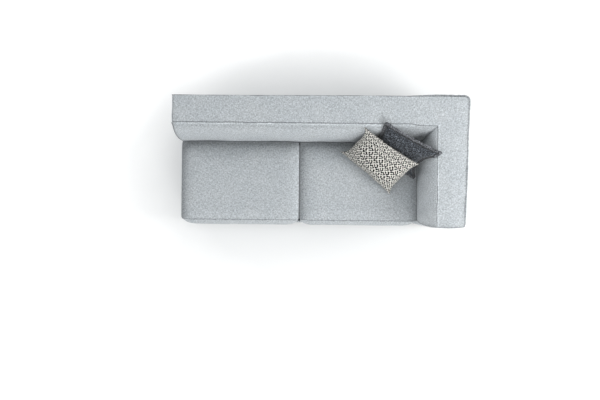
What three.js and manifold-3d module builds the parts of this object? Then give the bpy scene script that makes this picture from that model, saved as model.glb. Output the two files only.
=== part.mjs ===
// One-arm two-seat unit of a sectional sofa: timber base, plywood ribs, sinuous seat springs, foam pads,
// sewn covers, two boxed seat cushions and two scatter cushions in the corner.
// Millimetres. +X points to the arm, +Y to the back, +Z up. The origin is on the floor under the middle.
import * as THREE from "three";
import { mergeVertices } from "three/addons/utils/BufferGeometryUtils.js";
import Module from "manifold-3d";

const wasm = await Module();
wasm.setup();

// Overall sizes
const unitWidth = 2300;
const unitDepth = 1020;
const unitHeight = 780;
const seatHeight = 440;
const clearance = 0.3;
const overrun = 60;

// Covers
const coverThickness = 3;
const topCrown = 6;
const frontCrown = 6;
const rearCornerRadius = 40;
const armFrontRadius = 42;

// Back and arm sections
const backTopWidth = 222;
const backReach = 98;
const armTopWidth = 243;
const armReach = 86;
const armTaper = 30;

// Feet and dust cover
const footHeight = 45;
const footTopRadius = 32;
const footBottomRadius = 24;
const glideThickness = 5;
const glideRadius = 20;
const footInset = 95;
const dustCoverThickness = 2;

// Timber base
const railHeight = 190;
const railThickness = 25;
const baseSetback = 20;
const basePadThickness = 12;
const endInset = 8;
const centreRailHeight = 90;
const battenSize = 25;
const deckLedge = 14;
const cornerBlockLeg = 70;
const cornerBlockHeight = 80;

// Plywood and boards
const plyThickness = 18;
const boardThickness = 4;
const topRailThickness = 22;
const ribWebWidth = 55;
const backRibCount = 3;
const armRibCount = 3;

// Foam
const padThickness = 45;

// Seat suspension
const springsPerSeat = 3;
const springLoopWidth = 46;
const springLoopPitch = 70;
const springWireRadius = 2;
const springCurl = 9;
const springArch = 16;
const feltThickness = 5;
const deckThickness = 3;

// Seat cushions
const seatCrown = 16;
const seatCornerRadius = 14;
const seatEdgeRound = 9;
const seatFrontBulge = 34;
const seatEndBulge = 5;
const seatFrontSetback = 10;
const seatGap = 3;
const zipHeight = 14;
const zipEndMargin = 110;

// Scatter cushions, each with its centre's place from the arm, the back and the seat, and its turns
const greyCushion = {
  length: 492,
  width: 410,
  thickness: 104,
  longDrawIn: 12,
  shortDrawIn: 32,
  flange: 13,
  fromArm: 200,
  fromBack: 114,
  aboveSeat: 187.6,
  heading: THREE.MathUtils.degToRad(-27),
  lean: THREE.MathUtils.degToRad(61),
};
const patternedCushion = {
  length: 500,
  width: 372,
  thickness: 98,
  longDrawIn: 12,
  shortDrawIn: 18,
  flange: 0,
  fromArm: 356,
  fromBack: 184,
  aboveSeat: 158.6,
  heading: THREE.MathUtils.degToRad(-34),
  lean: THREE.MathUtils.degToRad(52),
};
const cushionCoverEdge = 1.6;
const cushionCavityEdge = 1;
const cushionFillEdge = 0.6;
const cushionCoverThickness = 2;
const cushionFillPlay = 0.8;
const cushionSlotHeight = 1.2;

// Docking plates at the open end
const plateWidth = 60;
const plateHeight = 110;
const plateThickness = 3;
const plateEndMargin = 120;
const plateHookReach = 4.5;
const plateHookHeight = 18;

// Facets
const sectionSteps = 5;
const cornerSteps = 5;
const roundSides = 16;
const springSides = 4;
const springStepsPerLoop = 8;
const seatSideSteps = 7;
const seatSideStepsDeep = 5;
const cushionLongSteps = 8;
const cushionShortSteps = 7;

// Shares of the size that each follows
const seatBoxingShares = [0.22, 0.5, 0.78];
const seatCrownRingShares = [0.86, 0.62, 0.34];
const cushionRingShares = [0.26, 0.5, 0.7, 0.86, 0.95];
const cushionFillRingShares = [0.35, 0.65, 0.88];
const cushionProfileShares = { falloff: 2.3, fullness: 0.72 };
const bulgeFlatShare = 6;
const slotLengthShare = 0.6;
const ribHoleStartShare = 0.22;

// Places worked out from the sizes above
const halfWidth = unitWidth / 2;
const halfDepth = unitDepth / 2;
const seamHeight = unitHeight - topCrown;
const backSeam = halfDepth - backTopWidth;
const backFront = backSeam - backReach;
const armSeam = halfWidth - armTopWidth;
const armInner = armSeam - armReach;
const seatEnd = -halfWidth + endInset;

const railBottom = footHeight + clearance + dustCoverThickness + clearance;
const railTop = railBottom + railHeight;
const deckTop = railTop + clearance + feltThickness + clearance + deckThickness;
const cushionBottom = deckTop + clearance;
const padInset = coverThickness + clearance;
const coreInset = padInset + padThickness + clearance;
const frameRear = halfDepth - padInset - boardThickness - clearance;
const frameOuter = halfWidth - armTaper - padInset - boardThickness - clearance;
const frameFront = -halfDepth + baseSetback + basePadThickness + clearance;
const frameLeft = -halfWidth + padInset;
const baseLeft = frameLeft + plyThickness + clearance;
const backRibFront = backFront + coreInset + boardThickness + clearance;
const armRibInner = armInner + coreInset + boardThickness + clearance;
const springRailFront = backRibFront - deckLedge;
const armRailInner = armRibInner - deckLedge;

const finishes = {
  timber: { color: 0xc9a36b, roughness: 0.7, metalness: 0 },
  ply: { color: 0xd8bb8a, roughness: 0.65, metalness: 0 },
  board: { color: 0x9a7a55, roughness: 0.8, metalness: 0 },
  foam: { color: 0xf0e7c8, roughness: 0.95, metalness: 0 },
  felt: { color: 0x8a8a86, roughness: 1, metalness: 0 },
  cover: { color: 0xb9bfc3, roughness: 0.95, metalness: 0 },
  lining: { color: 0x2b2c2e, roughness: 0.95, metalness: 0 },
  charcoal: { color: 0x4b4e52, roughness: 0.95, metalness: 0 },
  pattern: { color: 0x8c8b86, roughness: 0.95, metalness: 0 },
  steel: { color: 0x8e9296, roughness: 0.35, metalness: 0.9 },
  plastic: { color: 0x1e1f21, roughness: 0.5, metalness: 0 },
  fill: { color: 0xf4f4f2, roughness: 1, metalness: 0 },
};

// Turns that lay a drawn shape along an axis
const runAlongX = new THREE.Matrix4().makeBasis(
  new THREE.Vector3(0, 1, 0),
  new THREE.Vector3(0, 0, 1),
  new THREE.Vector3(1, 0, 0),
);
const runAlongY = new THREE.Matrix4().makeBasis(
  new THREE.Vector3(1, 0, 0),
  new THREE.Vector3(0, 0, 1),
  new THREE.Vector3(0, -1, 0),
);

const unit = new THREE.Group();
unit.name = "sofa_unit";

function solidOf(geometry) {
  const plain = new THREE.BufferGeometry();
  plain.setAttribute("position", geometry.getAttribute("position").clone());
  if (geometry.index) plain.setIndex(geometry.index.clone());
  const merged = mergeVertices(plain, clearance / 100);
  return new wasm.Manifold(
    new wasm.Mesh({
      numProp: 3,
      vertProperties: new Float32Array(merged.attributes.position.array),
      triVerts: new Uint32Array(merged.index.array),
    }),
  );
}

function geometryOf(solid) {
  const mesh = solid.getMesh();
  const geometry = new THREE.BufferGeometry();
  geometry.setAttribute("position", new THREE.BufferAttribute(mesh.vertProperties, 3));
  geometry.setIndex(new THREE.BufferAttribute(mesh.triVerts, 1));
  geometry.computeVertexNormals();
  return geometry;
}

function addPiece(parent, name, shape, finish) {
  const geometry = shape.isBufferGeometry ? shape : geometryOf(shape);
  const mesh = new THREE.Mesh(geometry, new THREE.MeshStandardMaterial(finishes[finish]));
  mesh.name = name;
  parent.add(mesh);
  return mesh;
}

// Box between two opposite corners
function boxBetween(low, high) {
  const size = high.map((value, axis) => value - low[axis]);
  const middle = high.map((value, axis) => (value + low[axis]) / 2);
  return new THREE.BoxGeometry(...size).translate(...middle);
}

function boxSolid(low, high) {
  return solidOf(boxBetween(low, high));
}

function extruded(shape, depth, curveSegments) {
  return new THREE.ExtrudeGeometry(shape, { depth, curveSegments, bevelEnabled: false });
}

// Cross-section of the back or the arm: across runs outwards from the seat, up runs up.
// The face towards the seat leaves the top seam level and curves down a quarter of an ellipse.
function sectionShape(section, inset) {
  const outer = section.outer - inset.outer;
  const top = seamHeight - inset.top;
  const shape = new THREE.Shape();
  shape.moveTo(outer, section.foot);
  shape.lineTo(outer, top);
  shape.quadraticCurveTo((outer + section.seam) / 2, top + 2 * topCrown, section.seam, top);
  shape.absellipse(
    section.seam,
    seatHeight,
    section.reach - inset.inner,
    top - seatHeight,
    Math.PI / 2,
    Math.PI,
    false,
  );
  shape.lineTo(section.seam - section.reach + inset.inner, section.foot);
  shape.closePath();
  return shape;
}

const backSection = { outer: halfDepth, seam: backSeam, reach: backReach, foot: footHeight };
const armSection = { outer: halfWidth, seam: armSeam, reach: armReach, foot: footHeight };

function evenInset(amount) {
  return { outer: amount, inner: amount, top: amount };
}

function backRun(inset, start, end, foot) {
  const section = { ...backSection, foot };
  return solidOf(
    extruded(sectionShape(section, inset), end - start, sectionSteps)
      .applyMatrix4(runAlongX)
      .translate(start, 0, 0),
  );
}

function armRun(inset, rear, front, foot) {
  const section = { ...armSection, foot };
  return solidOf(
    extruded(sectionShape(section, inset), rear - front, sectionSteps)
      .applyMatrix4(runAlongY)
      .translate(0, rear, 0),
  );
}

// The outer face of the arm draws in towards the front
function outerFaceAt(y, inset) {
  return halfWidth - (armTaper * (halfDepth - y)) / unitDepth - inset;
}

function planPrism(shape) {
  const height = unitHeight + overrun;
  return solidOf(extruded(shape, height + overrun, cornerSteps).translate(0, 0, -overrun));
}

function backPlan(inset) {
  const rear = halfDepth - inset;
  const front = backFront - overrun;
  const left = -halfWidth + inset;
  const radius = rearCornerRadius - inset;
  const shape = new THREE.Shape();
  shape.moveTo(left, front);
  shape.lineTo(outerFaceAt(front, inset), front);
  shape.lineTo(outerFaceAt(rear - radius, inset), rear - radius);
  shape.quadraticCurveTo(
    outerFaceAt(rear, inset),
    rear,
    outerFaceAt(rear, inset) - radius,
    rear,
  );
  shape.lineTo(left, rear);
  shape.closePath();
  return planPrism(shape);
}

function armPlan(inset) {
  const inner = armInner + inset;
  const front = -halfDepth + frontCrown + inset;
  const outer = outerFaceAt(front, inset);
  const radius = armFrontRadius;
  const shape = new THREE.Shape();
  shape.moveTo(inner, halfDepth);
  shape.lineTo(inner, front + radius);
  shape.quadraticCurveTo(inner, front, inner + radius, front);
  shape.quadraticCurveTo((inner + radius + outer) / 2, front - 2 * frontCrown, outer, front);
  shape.lineTo(outerFaceAt(halfDepth, inset), halfDepth);
  shape.closePath();
  return planPrism(shape);
}

function buildCovers() {
  const backOuter = backRun(evenInset(0), -halfWidth, halfWidth, footHeight).intersect(backPlan(0));
  const backInner = backRun(
    evenInset(coverThickness),
    -halfWidth + coverThickness,
    halfWidth,
    -overrun,
  ).intersect(backPlan(coverThickness));
  const backMouth = boxSolid(
    [-halfWidth + coverThickness, backFront - overrun, -overrun],
    [halfWidth + overrun, backFront + coverThickness + clearance, deckTop],
  );
  const backCover = backOuter.subtract(backInner).subtract(backMouth);
  addPiece(unit, "back_cover", backCover, "cover");

  const armRear = halfDepth - backTopWidth;
  const backClearance = backRun(
    evenInset(-clearance),
    armInner - overrun,
    halfWidth + overrun,
    -overrun,
  );
  const armOuter = armRun(evenInset(0), armRear, -halfDepth, footHeight).intersect(armPlan(0));
  const armInnerSpace = armRun(
    evenInset(coverThickness),
    armRear + overrun,
    -halfDepth + coverThickness,
    -overrun,
  ).intersect(armPlan(coverThickness));
  const armMouth = boxSolid(
    [armInner - overrun, frameFront - clearance, -overrun],
    [armInner + armFrontRadius, halfDepth, deckTop],
  );
  const armCover = armOuter.subtract(armInnerSpace).subtract(armMouth).subtract(backClearance);
  addPiece(unit, "arm_cover", armCover, "cover");
}

// Foam wraps the front and top of the back, its right end, and the inside, top and front of the arm
function buildPads() {
  const backSpace = backRun(
    evenInset(padInset),
    -halfWidth + padInset,
    halfWidth,
    deckTop + clearance,
  ).intersect(backPlan(padInset));
  const backCoreSection = {
    outer: -overrun,
    inner: coreInset - clearance,
    top: coreInset - clearance,
  };
  const backCore = backRun(backCoreSection, -halfWidth - overrun, frameOuter + clearance, -overrun);
  addPiece(unit, "back_pad", backSpace.subtract(backCore), "foam");

  const backClearance = backRun(
    evenInset(-clearance),
    armInner - overrun,
    halfWidth + overrun,
    -overrun,
  );
  const armSpace = armRun(
    evenInset(padInset),
    backSeam,
    -halfDepth + padInset,
    deckTop + clearance,
  )
    .intersect(armPlan(padInset))
    .subtract(backClearance);
  const armCoreSection = {
    outer: -overrun,
    inner: coreInset - clearance,
    top: coreInset - clearance,
  };
  const armCore = armRun(armCoreSection, halfDepth, frameFront - clearance, -overrun);
  addPiece(unit, "arm_pad", armSpace.subtract(armCore), "foam");

  const wedgeTop = seamHeight - coreInset;
  const wedge = armRun(evenInset(padInset), backFront, frameFront, railBottom)
    .intersect(armPlan(padInset))
    .intersect(
      boxSolid(
        [frameOuter + clearance + boardThickness + clearance, -halfDepth, -overrun],
        [halfWidth + overrun, backFront - clearance, wedgeTop],
      ),
    );
  addPiece(unit, "arm_outer_wedge", wedge, "foam");
}

// Curved board that follows the ribs, as a slice of the section between two insets
function buildBoards() {
  const boardTop = seamHeight - coreInset - topRailThickness - clearance;
  const outside = { outer: -overrun, inner: coreInset, top: coreInset };
  const inside = {
    outer: -overrun,
    inner: coreInset + boardThickness,
    top: coreInset + boardThickness,
  };
  const backBoard = backRun(outside, frameLeft, frameOuter, deckTop + clearance)
    .subtract(backRun(inside, frameLeft - overrun, frameOuter + overrun, -overrun))
    .subtract(
      boxSolid(
        [-unitWidth, backFront, boardTop - clearance],
        [unitWidth, unitDepth, unitHeight],
      ),
    );
  addPiece(unit, "back_inside_board", backBoard, "board");

  const armRear = backFront - clearance;
  const armBoard = armRun(outside, armRear, frameFront, deckTop + clearance)
    .subtract(armRun(inside, armRear + overrun, frameFront - overrun, -overrun))
    .subtract(
      boxSolid(
        [armInner, -unitDepth, boardTop - clearance],
        [unitWidth, unitDepth, unitHeight],
      ),
    );
  addPiece(unit, "arm_inside_board", armBoard, "board");

  const rearBoard = boxBetween(
    [frameLeft, frameRear + clearance, railBottom],
    [frameOuter, frameRear + clearance + boardThickness, boardTop],
  );
  addPiece(unit, "back_rear_board", rearBoard, "board");

  const outerBoard = boxBetween(
    [frameOuter + clearance, frameFront, railBottom],
    [frameOuter + clearance + boardThickness, armRear, boardTop],
  );
  addPiece(unit, "arm_outer_board", outerBoard, "board");
}

function ribShape(section, outerInset) {
  const inset = coreInset + boardThickness + clearance;
  const top = coreInset + topRailThickness + clearance + topCrown;
  const shape = sectionShape(section, { outer: outerInset, inner: inset, top });
  const web = { outer: outerInset + ribWebWidth, inner: inset + ribWebWidth, top: top + ribWebWidth };
  const holeFoot = section.foot + ribHoleStartShare * (seamHeight - section.foot);
  shape.holes.push(sectionShape({ ...section, foot: holeFoot }, web));
  return shape;
}

function buildRibs() {
  const outerInset = halfDepth - frameRear;
  const ribFoot = railTop + clearance;
  const backLeft = frameLeft + plyThickness + clearance;
  const pitch = (frameOuter - plyThickness - backLeft) / backRibCount;
  const backRibShape = ribShape({ ...backSection, foot: ribFoot }, outerInset);
  const backRib = extruded(backRibShape, plyThickness, sectionSteps);
  for (let index = 1; index <= backRibCount; index += 1) {
    const place = backLeft + index * pitch;
    const rib = backRib.clone().applyMatrix4(runAlongX).translate(place, 0, 0);
    addPiece(unit, `back_rib_${index}`, rib, "ply");
  }
  const endInsets = {
    outer: outerInset,
    inner: coreInset + boardThickness + clearance,
    top: coreInset + topRailThickness + clearance + topCrown,
  };
  const endPanel = sectionShape({ ...backSection, foot: railBottom }, endInsets);
  addPiece(
    unit,
    "back_end_panel",
    extruded(endPanel, plyThickness, sectionSteps).applyMatrix4(runAlongX).translate(frameLeft, 0, 0),
    "ply",
  );

  const armOuterInset = halfWidth - frameOuter;
  const armRibShape = ribShape({ ...armSection, foot: ribFoot }, armOuterInset);
  const armRib = extruded(armRibShape, plyThickness, sectionSteps);
  const armRear = backFront - clearance;
  const armPitch = (armRear - plyThickness - frameFront) / (armRibCount - 1);
  for (let index = 0; index < armRibCount; index += 1) {
    const place = frameFront + plyThickness + index * armPitch;
    const rib = armRib.clone().applyMatrix4(runAlongY).translate(0, place, 0);
    addPiece(unit, `arm_rib_${index + 1}`, rib, "ply");
  }
}

function buildTopRails() {
  const top = seamHeight - coreInset;
  const bottom = top - topRailThickness;
  const backRail = boxBetween([frameLeft, backSeam, bottom], [frameOuter, frameRear, top]);
  addPiece(unit, "back_top_rail", backRail, "timber");
  const armRail = boxBetween([armSeam, frameFront, bottom], [frameOuter, backFront - clearance, top]);
  addPiece(unit, "arm_top_rail", armRail, "timber");
}

function buildBase() {
  const front = frameFront;
  const rear = frameRear;
  const inFront = front + railThickness + clearance;
  const inRear = rear - railThickness - clearance;
  const rails = {
    front_rail: [
      [baseLeft, front, railBottom],
      [frameOuter, front + railThickness, railTop],
    ],
    rear_rail: [
      [baseLeft, rear - railThickness, railBottom],
      [frameOuter, rear, railTop],
    ],
    left_rail: [
      [baseLeft, inFront, railBottom],
      [baseLeft + railThickness, inRear, railTop],
    ],
    right_rail: [
      [frameOuter - railThickness, inFront, railBottom],
      [frameOuter, inRear, railTop],
    ],
    seat_back_rail: [
      [baseLeft + railThickness + clearance, springRailFront, railBottom],
      [frameOuter - railThickness - clearance, springRailFront + railThickness, railTop],
    ],
    arm_rail: [
      [armRailInner, inFront, railBottom],
      [armRailInner + railThickness, springRailFront - clearance, railTop],
    ],
  };
  for (const [name, corners] of Object.entries(rails)) {
    addPiece(unit, name, boxBetween(...corners), "timber");
  }

  const seatMiddle = (seatEnd + armInner) / 2;
  const centreRail = boxBetween(
    [seatMiddle - railThickness / 2, inFront, railBottom],
    [seatMiddle + railThickness / 2, springRailFront - clearance, railBottom + centreRailHeight],
  );
  addPiece(unit, "centre_rail", centreRail, "timber");

  const battenTop = railTop - clearance - springArch - 2 * springWireRadius - clearance;
  const battenLeft = baseLeft + railThickness + clearance;
  const battenRight = armRailInner - clearance;
  const battens = {
    spring_batten_front: inFront,
    spring_batten_rear: springRailFront - clearance - battenSize,
  };
  for (const [name, y] of Object.entries(battens)) {
    const batten = boxBetween(
      [battenLeft, y, battenTop - battenSize],
      [battenRight, y + battenSize, battenTop],
    );
    addPiece(unit, name, batten, "timber");
  }

  const blockPlaces = {
    corner_block_front_left: [baseLeft + railThickness + clearance, inFront, 0],
    corner_block_front_right: [frameOuter - railThickness - clearance, inFront, Math.PI / 2],
    corner_block_rear_right: [frameOuter - railThickness - clearance, inRear, Math.PI],
    corner_block_rear_left: [baseLeft + railThickness + clearance, inRear, -Math.PI / 2],
  };
  const blockShape = new THREE.Shape();
  blockShape.moveTo(0, 0);
  blockShape.lineTo(cornerBlockLeg, 0);
  blockShape.lineTo(0, cornerBlockLeg);
  blockShape.closePath();
  for (const [name, [x, y, turn]] of Object.entries(blockPlaces)) {
    const block = addPiece(unit, name, extruded(blockShape, cornerBlockHeight, 1), "timber");
    block.position.set(x, y, railBottom);
    block.rotation.z = turn;
  }
}

// Zigzag wire: across swings side to side, and the curl carries each bend past its neighbour's leg
class SinuousPath extends THREE.Curve {
  constructor(x, start, end, low) {
    super();
    Object.assign(this, { x, start, end, low });
    this.loops = Math.round((end - start) / springLoopPitch);
  }

  getPoint(share, target = new THREE.Vector3()) {
    const phase = 2 * Math.PI * this.loops * share;
    const ease = Math.min(1, this.loops * share, this.loops * (1 - share));
    const across = (springLoopWidth / 2) * Math.sin(phase);
    const along = springCurl * ease * Math.sin(2 * phase);
    return target.set(
      this.x + across,
      this.start + (this.end - this.start) * share - along,
      this.low + springArch * Math.sin(Math.PI * share),
    );
  }
}

function buildSprings() {
  const start = frameFront + railThickness + clearance + springWireRadius;
  const end = springRailFront - clearance - springWireRadius;
  const low = railTop - clearance - springArch - springWireRadius;
  const left = baseLeft + railThickness;
  const count = 2 * springsPerSeat;
  const pitch = (armRailInner - left) / count;
  const wire = new THREE.Shape();
  wire.absarc(0, 0, springWireRadius, 0, 2 * Math.PI, false);
  for (let index = 0; index < count; index += 1) {
    const path = new SinuousPath(left + (index + 0.5) * pitch, start, end, low);
    const spring = new THREE.ExtrudeGeometry(wire, {
      extrudePath: path,
      steps: path.loops * springStepsPerLoop,
      curveSegments: springSides / 2,
      bevelEnabled: false,
    });
    addPiece(unit, `seat_spring_${index + 1}`, spring, "steel");
  }
}

function buildDeck() {
  const left = baseLeft;
  const right = armRibInner - clearance;
  const rear = backRibFront - clearance;
  const felt = boxBetween(
    [left, frameFront, railTop + clearance],
    [right, rear, railTop + clearance + feltThickness],
  );
  addPiece(unit, "spring_felt", felt, "felt");
  const deck = boxBetween([left, frameFront, deckTop - deckThickness], [right, rear, deckTop]);
  addPiece(unit, "deck_cloth", deck, "lining");
}

function buildBaseCovers() {
  const front = frameFront - clearance - basePadThickness;
  const frontPad = boxBetween(
    [seatEnd, front, footHeight],
    [armInner - clearance, frameFront - clearance, deckTop],
  );
  addPiece(unit, "base_front_cover", frontPad, "cover");
  const sidePad = boxBetween(
    [seatEnd, frameFront, footHeight],
    [baseLeft - clearance, backFront - clearance, deckTop],
  );
  addPiece(unit, "base_side_cover", sidePad, "cover");
  const dust = boxBetween(
    [baseLeft, frameFront, footHeight + clearance],
    [frameOuter, frameRear, footHeight + clearance + dustCoverThickness],
  );
  addPiece(unit, "dust_cover", dust, "lining");
}

function buildFeet() {
  const seatMiddle = (seatEnd + armInner) / 2;
  const columns = { left: baseLeft + footInset, middle: seatMiddle, right: frameOuter - footInset };
  const rows = { front: frameFront + footInset, rear: frameRear - footInset };
  const profile = [
    [0, 0],
    [glideRadius, 0],
    [glideRadius, glideThickness],
    [footBottomRadius, glideThickness],
    [footTopRadius, footHeight],
    [0, footHeight],
  ].map(([radius, height]) => new THREE.Vector2(radius, height));
  for (const [column, x] of Object.entries(columns)) {
    for (const [row, y] of Object.entries(rows)) {
      const foot = new THREE.LatheGeometry(profile, roundSides).rotateX(Math.PI / 2);
      addPiece(unit, `foot_${row}_${column}`, foot.translate(x, y, 0), "plastic");
    }
  }
}

function buildDockingPlates() {
  const outer = seatEnd - clearance;
  const bottom = footHeight + (deckTop - footHeight - plateHeight) / 2;
  const fronts = {
    docking_plate_front: frameFront + plateEndMargin,
    docking_plate_rear: backFront - plateEndMargin - plateWidth,
  };
  for (const [name, y] of Object.entries(fronts)) {
    const plate = boxSolid(
      [outer - plateThickness, y, bottom],
      [outer, y + plateWidth, bottom + plateHeight],
    );
    const hook = boxSolid(
      [outer - plateThickness - plateHookReach, y, bottom],
      [outer - plateThickness, y + plateWidth, bottom + plateHookHeight],
    );
    addPiece(unit, name, plate.add(hook), "steel");
  }
}

// Outline of a boxed cushion, anticlockwise, each point with its outward direction and share of the bulge
function boxedOutline(size) {
  const radius = seatCornerRadius;
  const corners = [
    { x: size.right, y: size.front, side: "right", steps: seatSideStepsDeep, along: [0, 1] },
    { x: size.right, y: size.rear, side: "rear", steps: seatSideSteps, along: [-1, 0] },
    { x: size.left, y: size.rear, side: "left", steps: seatSideStepsDeep, along: [0, -1] },
    { x: size.left, y: size.front, side: "front", steps: seatSideSteps, along: [1, 0] },
  ];
  const points = [];
  corners.forEach((corner, index) => {
    const next = corners[(index + 1) % corners.length];
    const [alongX, alongY] = corner.along;
    const length = Math.hypot(next.x - corner.x, next.y - corner.y) - 2 * radius;
    for (let step = 0; step <= corner.steps; step += 1) {
      const share = step / corner.steps;
      const eased = (1 - Math.cos(Math.PI * share)) / 2;
      points.push({
        x: corner.x + alongX * (radius + length * eased),
        y: corner.y + alongY * (radius + length * eased),
        outward: [alongY, -alongX],
        side: corner.side,
        bulgeShare: 1 - Math.abs(2 * eased - 1) ** bulgeFlatShare,
      });
    }
  });
  return points;
}

// Closed body lofted through rings of equal counts, bottom first, its ends closed by fans
function loftRings(rings) {
  const count = rings[0].length;
  const positions = rings.flat();
  const meanOf = (ring, axis) => ring.reduce((sum, point) => sum + point[axis], 0) / count;
  const average = (ring) => [0, 1, 2].map((axis) => meanOf(ring, axis));
  const bottomCentre = positions.push(average(rings[0])) - 1;
  const topCentre = positions.push(average(rings[rings.length - 1])) - 1;
  const indices = [];
  for (let ring = 0; ring + 1 < rings.length; ring += 1) {
    for (let point = 0; point < count; point += 1) {
      const here = ring * count + point;
      const beside = ring * count + ((point + 1) % count);
      indices.push(here, beside, beside + count, here, beside + count, here + count);
    }
  }
  const last = (rings.length - 1) * count;
  for (let point = 0; point < count; point += 1) {
    const next = (point + 1) % count;
    indices.push(bottomCentre, next, point, topCentre, last + point, last + next);
  }
  const geometry = new THREE.BufferGeometry();
  geometry.setAttribute("position", new THREE.Float32BufferAttribute(positions.flat(), 3));
  geometry.setIndex(indices);
  return geometry;
}

// Boxed seat cushion: flat base, boxing that swells between its seams, crowned top
function boxedCushion(space, bulges, inset) {
  const size = {
    left: space.left + inset,
    right: space.right - inset,
    front: space.front + inset,
    rear: space.rear - inset,
  };
  const bottom = space.bottom + inset;
  const top = seatHeight - inset;
  const outline = boxedOutline(size);
  const middle = [(size.left + size.right) / 2, (size.front + size.rear) / 2];
  const drawnIn = (share) => [
    1 - ((1 - share) * 2 * seatEdgeRound) / (size.right - size.left),
    1 - ((1 - share) * 2 * seatEdgeRound) / (size.rear - size.front),
  ];
  const ring = (scale, height, swell) =>
    outline.map((point) => {
      const push = swell * bulges[point.side] * point.bulgeShare;
      return [
        middle[0] + (point.x - middle[0]) * scale[0] + point.outward[0] * push,
        middle[1] + (point.y - middle[1]) * scale[1] + point.outward[1] * push,
        height,
      ];
    });
  const rings = [ring(drawnIn(0), bottom, 0), ring([1, 1], bottom + seatEdgeRound, 0)];
  for (const share of seatBoxingShares) {
    const height = bottom + seatEdgeRound + share * (top - bottom - 2 * seatEdgeRound);
    rings.push(ring([1, 1], height, Math.sin(Math.PI * share)));
  }
  rings.push(ring([1, 1], top - seatEdgeRound, 0), ring(drawnIn(0), top, 0));
  for (const share of seatCrownRingShares) {
    rings.push(ring([share, share], top + seatCrown * (1 - share ** 2), 0));
  }
  return loftRings(rings);
}

function buildSeatCushions() {
  const width = (armInner - seatGap - seatEnd - seatGap) / 2;
  const front = -halfDepth + seatFrontSetback + seatFrontBulge;
  const lefts = { seat_left: seatEnd, seat_right: seatEnd + width + seatGap };
  for (const [name, left] of Object.entries(lefts)) {
    const group = new THREE.Group();
    unit.add(group);
    const space = {
      left,
      right: left + width,
      front,
      rear: backFront - seatGap,
      bottom: cushionBottom,
    };
    const bulges = {
      front: seatFrontBulge,
      rear: 0,
      right: 0,
      left: name === "seat_left" ? seatEndBulge : 0,
    };
    const slotMiddle = (cushionBottom + seatHeight) / 2;
    const slotLow = [space.left + zipEndMargin, space.rear - coverThickness, slotMiddle - zipHeight / 2];
    const slotHigh = [space.right - zipEndMargin, space.rear, slotMiddle + zipHeight / 2];
    const outer = solidOf(boxedCushion(space, bulges, 0));
    const inner = solidOf(boxedCushion(space, bulges, coverThickness));
    const slot = boxSolid(
      [slotLow[0], slotLow[1] - seatGap, slotLow[2]],
      [slotHigh[0], slotHigh[1] + seatGap, slotHigh[2]],
    );
    addPiece(group, `${name}_cover`, outer.subtract(inner).subtract(slot), "cover");
    addPiece(group, `${name}_core`, boxedCushion(space, bulges, padInset), "foam");
    const zip = boxBetween(
      slotLow.map((value) => value + clearance),
      slotHigh.map((value) => value - clearance),
    );
    addPiece(group, `${name}_zip`, zip, "lining");
  }
}

// Outline of a knife-edge cushion whose sides draw in between pointed corners, anticlockwise from front left
function pillowOutline(length, width, pillow) {
  const corners = [
    [-length / 2, -width / 2],
    [length / 2, -width / 2],
    [length / 2, width / 2],
    [-length / 2, width / 2],
  ];
  const points = [];
  corners.forEach(([x, y], index) => {
    const [nextX, nextY] = corners[(index + 1) % corners.length];
    const steps = index % 2 ? cushionShortSteps : cushionLongSteps;
    const drawIn = index % 2 ? pillow.shortDrawIn : pillow.longDrawIn;
    const run = Math.hypot(nextX - x, nextY - y);
    for (let step = 0; step < steps; step += 1) {
      const share = step / steps;
      const pull = 4 * drawIn * share * (1 - share);
      points.push([
        x + (nextX - x) * share - ((nextY - y) / run) * pull,
        y + (nextY - y) * share + ((nextX - x) / run) * pull,
      ]);
    }
  });
  return points;
}

function pillowBody(pillow, inset, edge, shares) {
  const length = pillow.length - 2 * pillow.flange - 2 * inset;
  const width = pillow.width - 2 * pillow.flange - 2 * inset;
  const rise = pillow.thickness / 2 - edge - inset;
  const outline = pillowOutline(length, width, pillow);
  const heightAt = (share) =>
    edge + rise * (1 - share ** cushionProfileShares.falloff) ** cushionProfileShares.fullness;
  const ring = (share, height) => outline.map(([x, y]) => [x * share, y * share, height]);
  const lower = shares.map((share) => ring(share, -heightAt(share)));
  const upper = shares.map((share) => ring(share, heightAt(share))).reverse();
  const seam = [ring(1, -edge), ring(1, edge)];
  if (inset || !pillow.flange) return loftRings([...lower, ...seam, ...upper]);
  const hem = pillowOutline(pillow.length, pillow.width, pillow);
  const hemRings = [-edge, edge].map((height) => hem.map(([x, y]) => [x, y, height]));
  return loftRings([...lower, seam[0], ...hemRings, seam[1], ...upper]);
}

function buildScatterCushion(name, pillow, finish) {
  const group = new THREE.Group();
  group.position.set(
    armInner - pillow.fromArm,
    backFront - pillow.fromBack,
    seatHeight + pillow.aboveSeat,
  );
  group.rotation.set(pillow.lean, 0, pillow.heading, "ZYX");
  unit.add(group);
  const slotEnd = (slotLengthShare * pillow.length) / 2;
  const slotStart = -pillow.width / 2 - overrun;
  const slotDepth = -pillow.width / 2 + pillow.longDrawIn + pillow.flange + overrun / 2;
  const slot = boxSolid(
    [-slotEnd, slotStart, -cushionSlotHeight / 2],
    [slotEnd, slotDepth, cushionSlotHeight / 2],
  );
  const outer = solidOf(pillowBody(pillow, 0, cushionCoverEdge, cushionRingShares));
  const cavity = pillowBody(pillow, cushionCoverThickness, cushionCavityEdge, cushionRingShares);
  const inner = solidOf(cavity);
  addPiece(group, `${name}_cover`, outer.subtract(inner).subtract(slot), finish);
  const fillInset = cushionCoverThickness + cushionFillPlay;
  const fill = pillowBody(pillow, fillInset, cushionFillEdge, cushionFillRingShares);
  addPiece(group, `${name}_fill`, fill, "fill");
}

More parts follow.
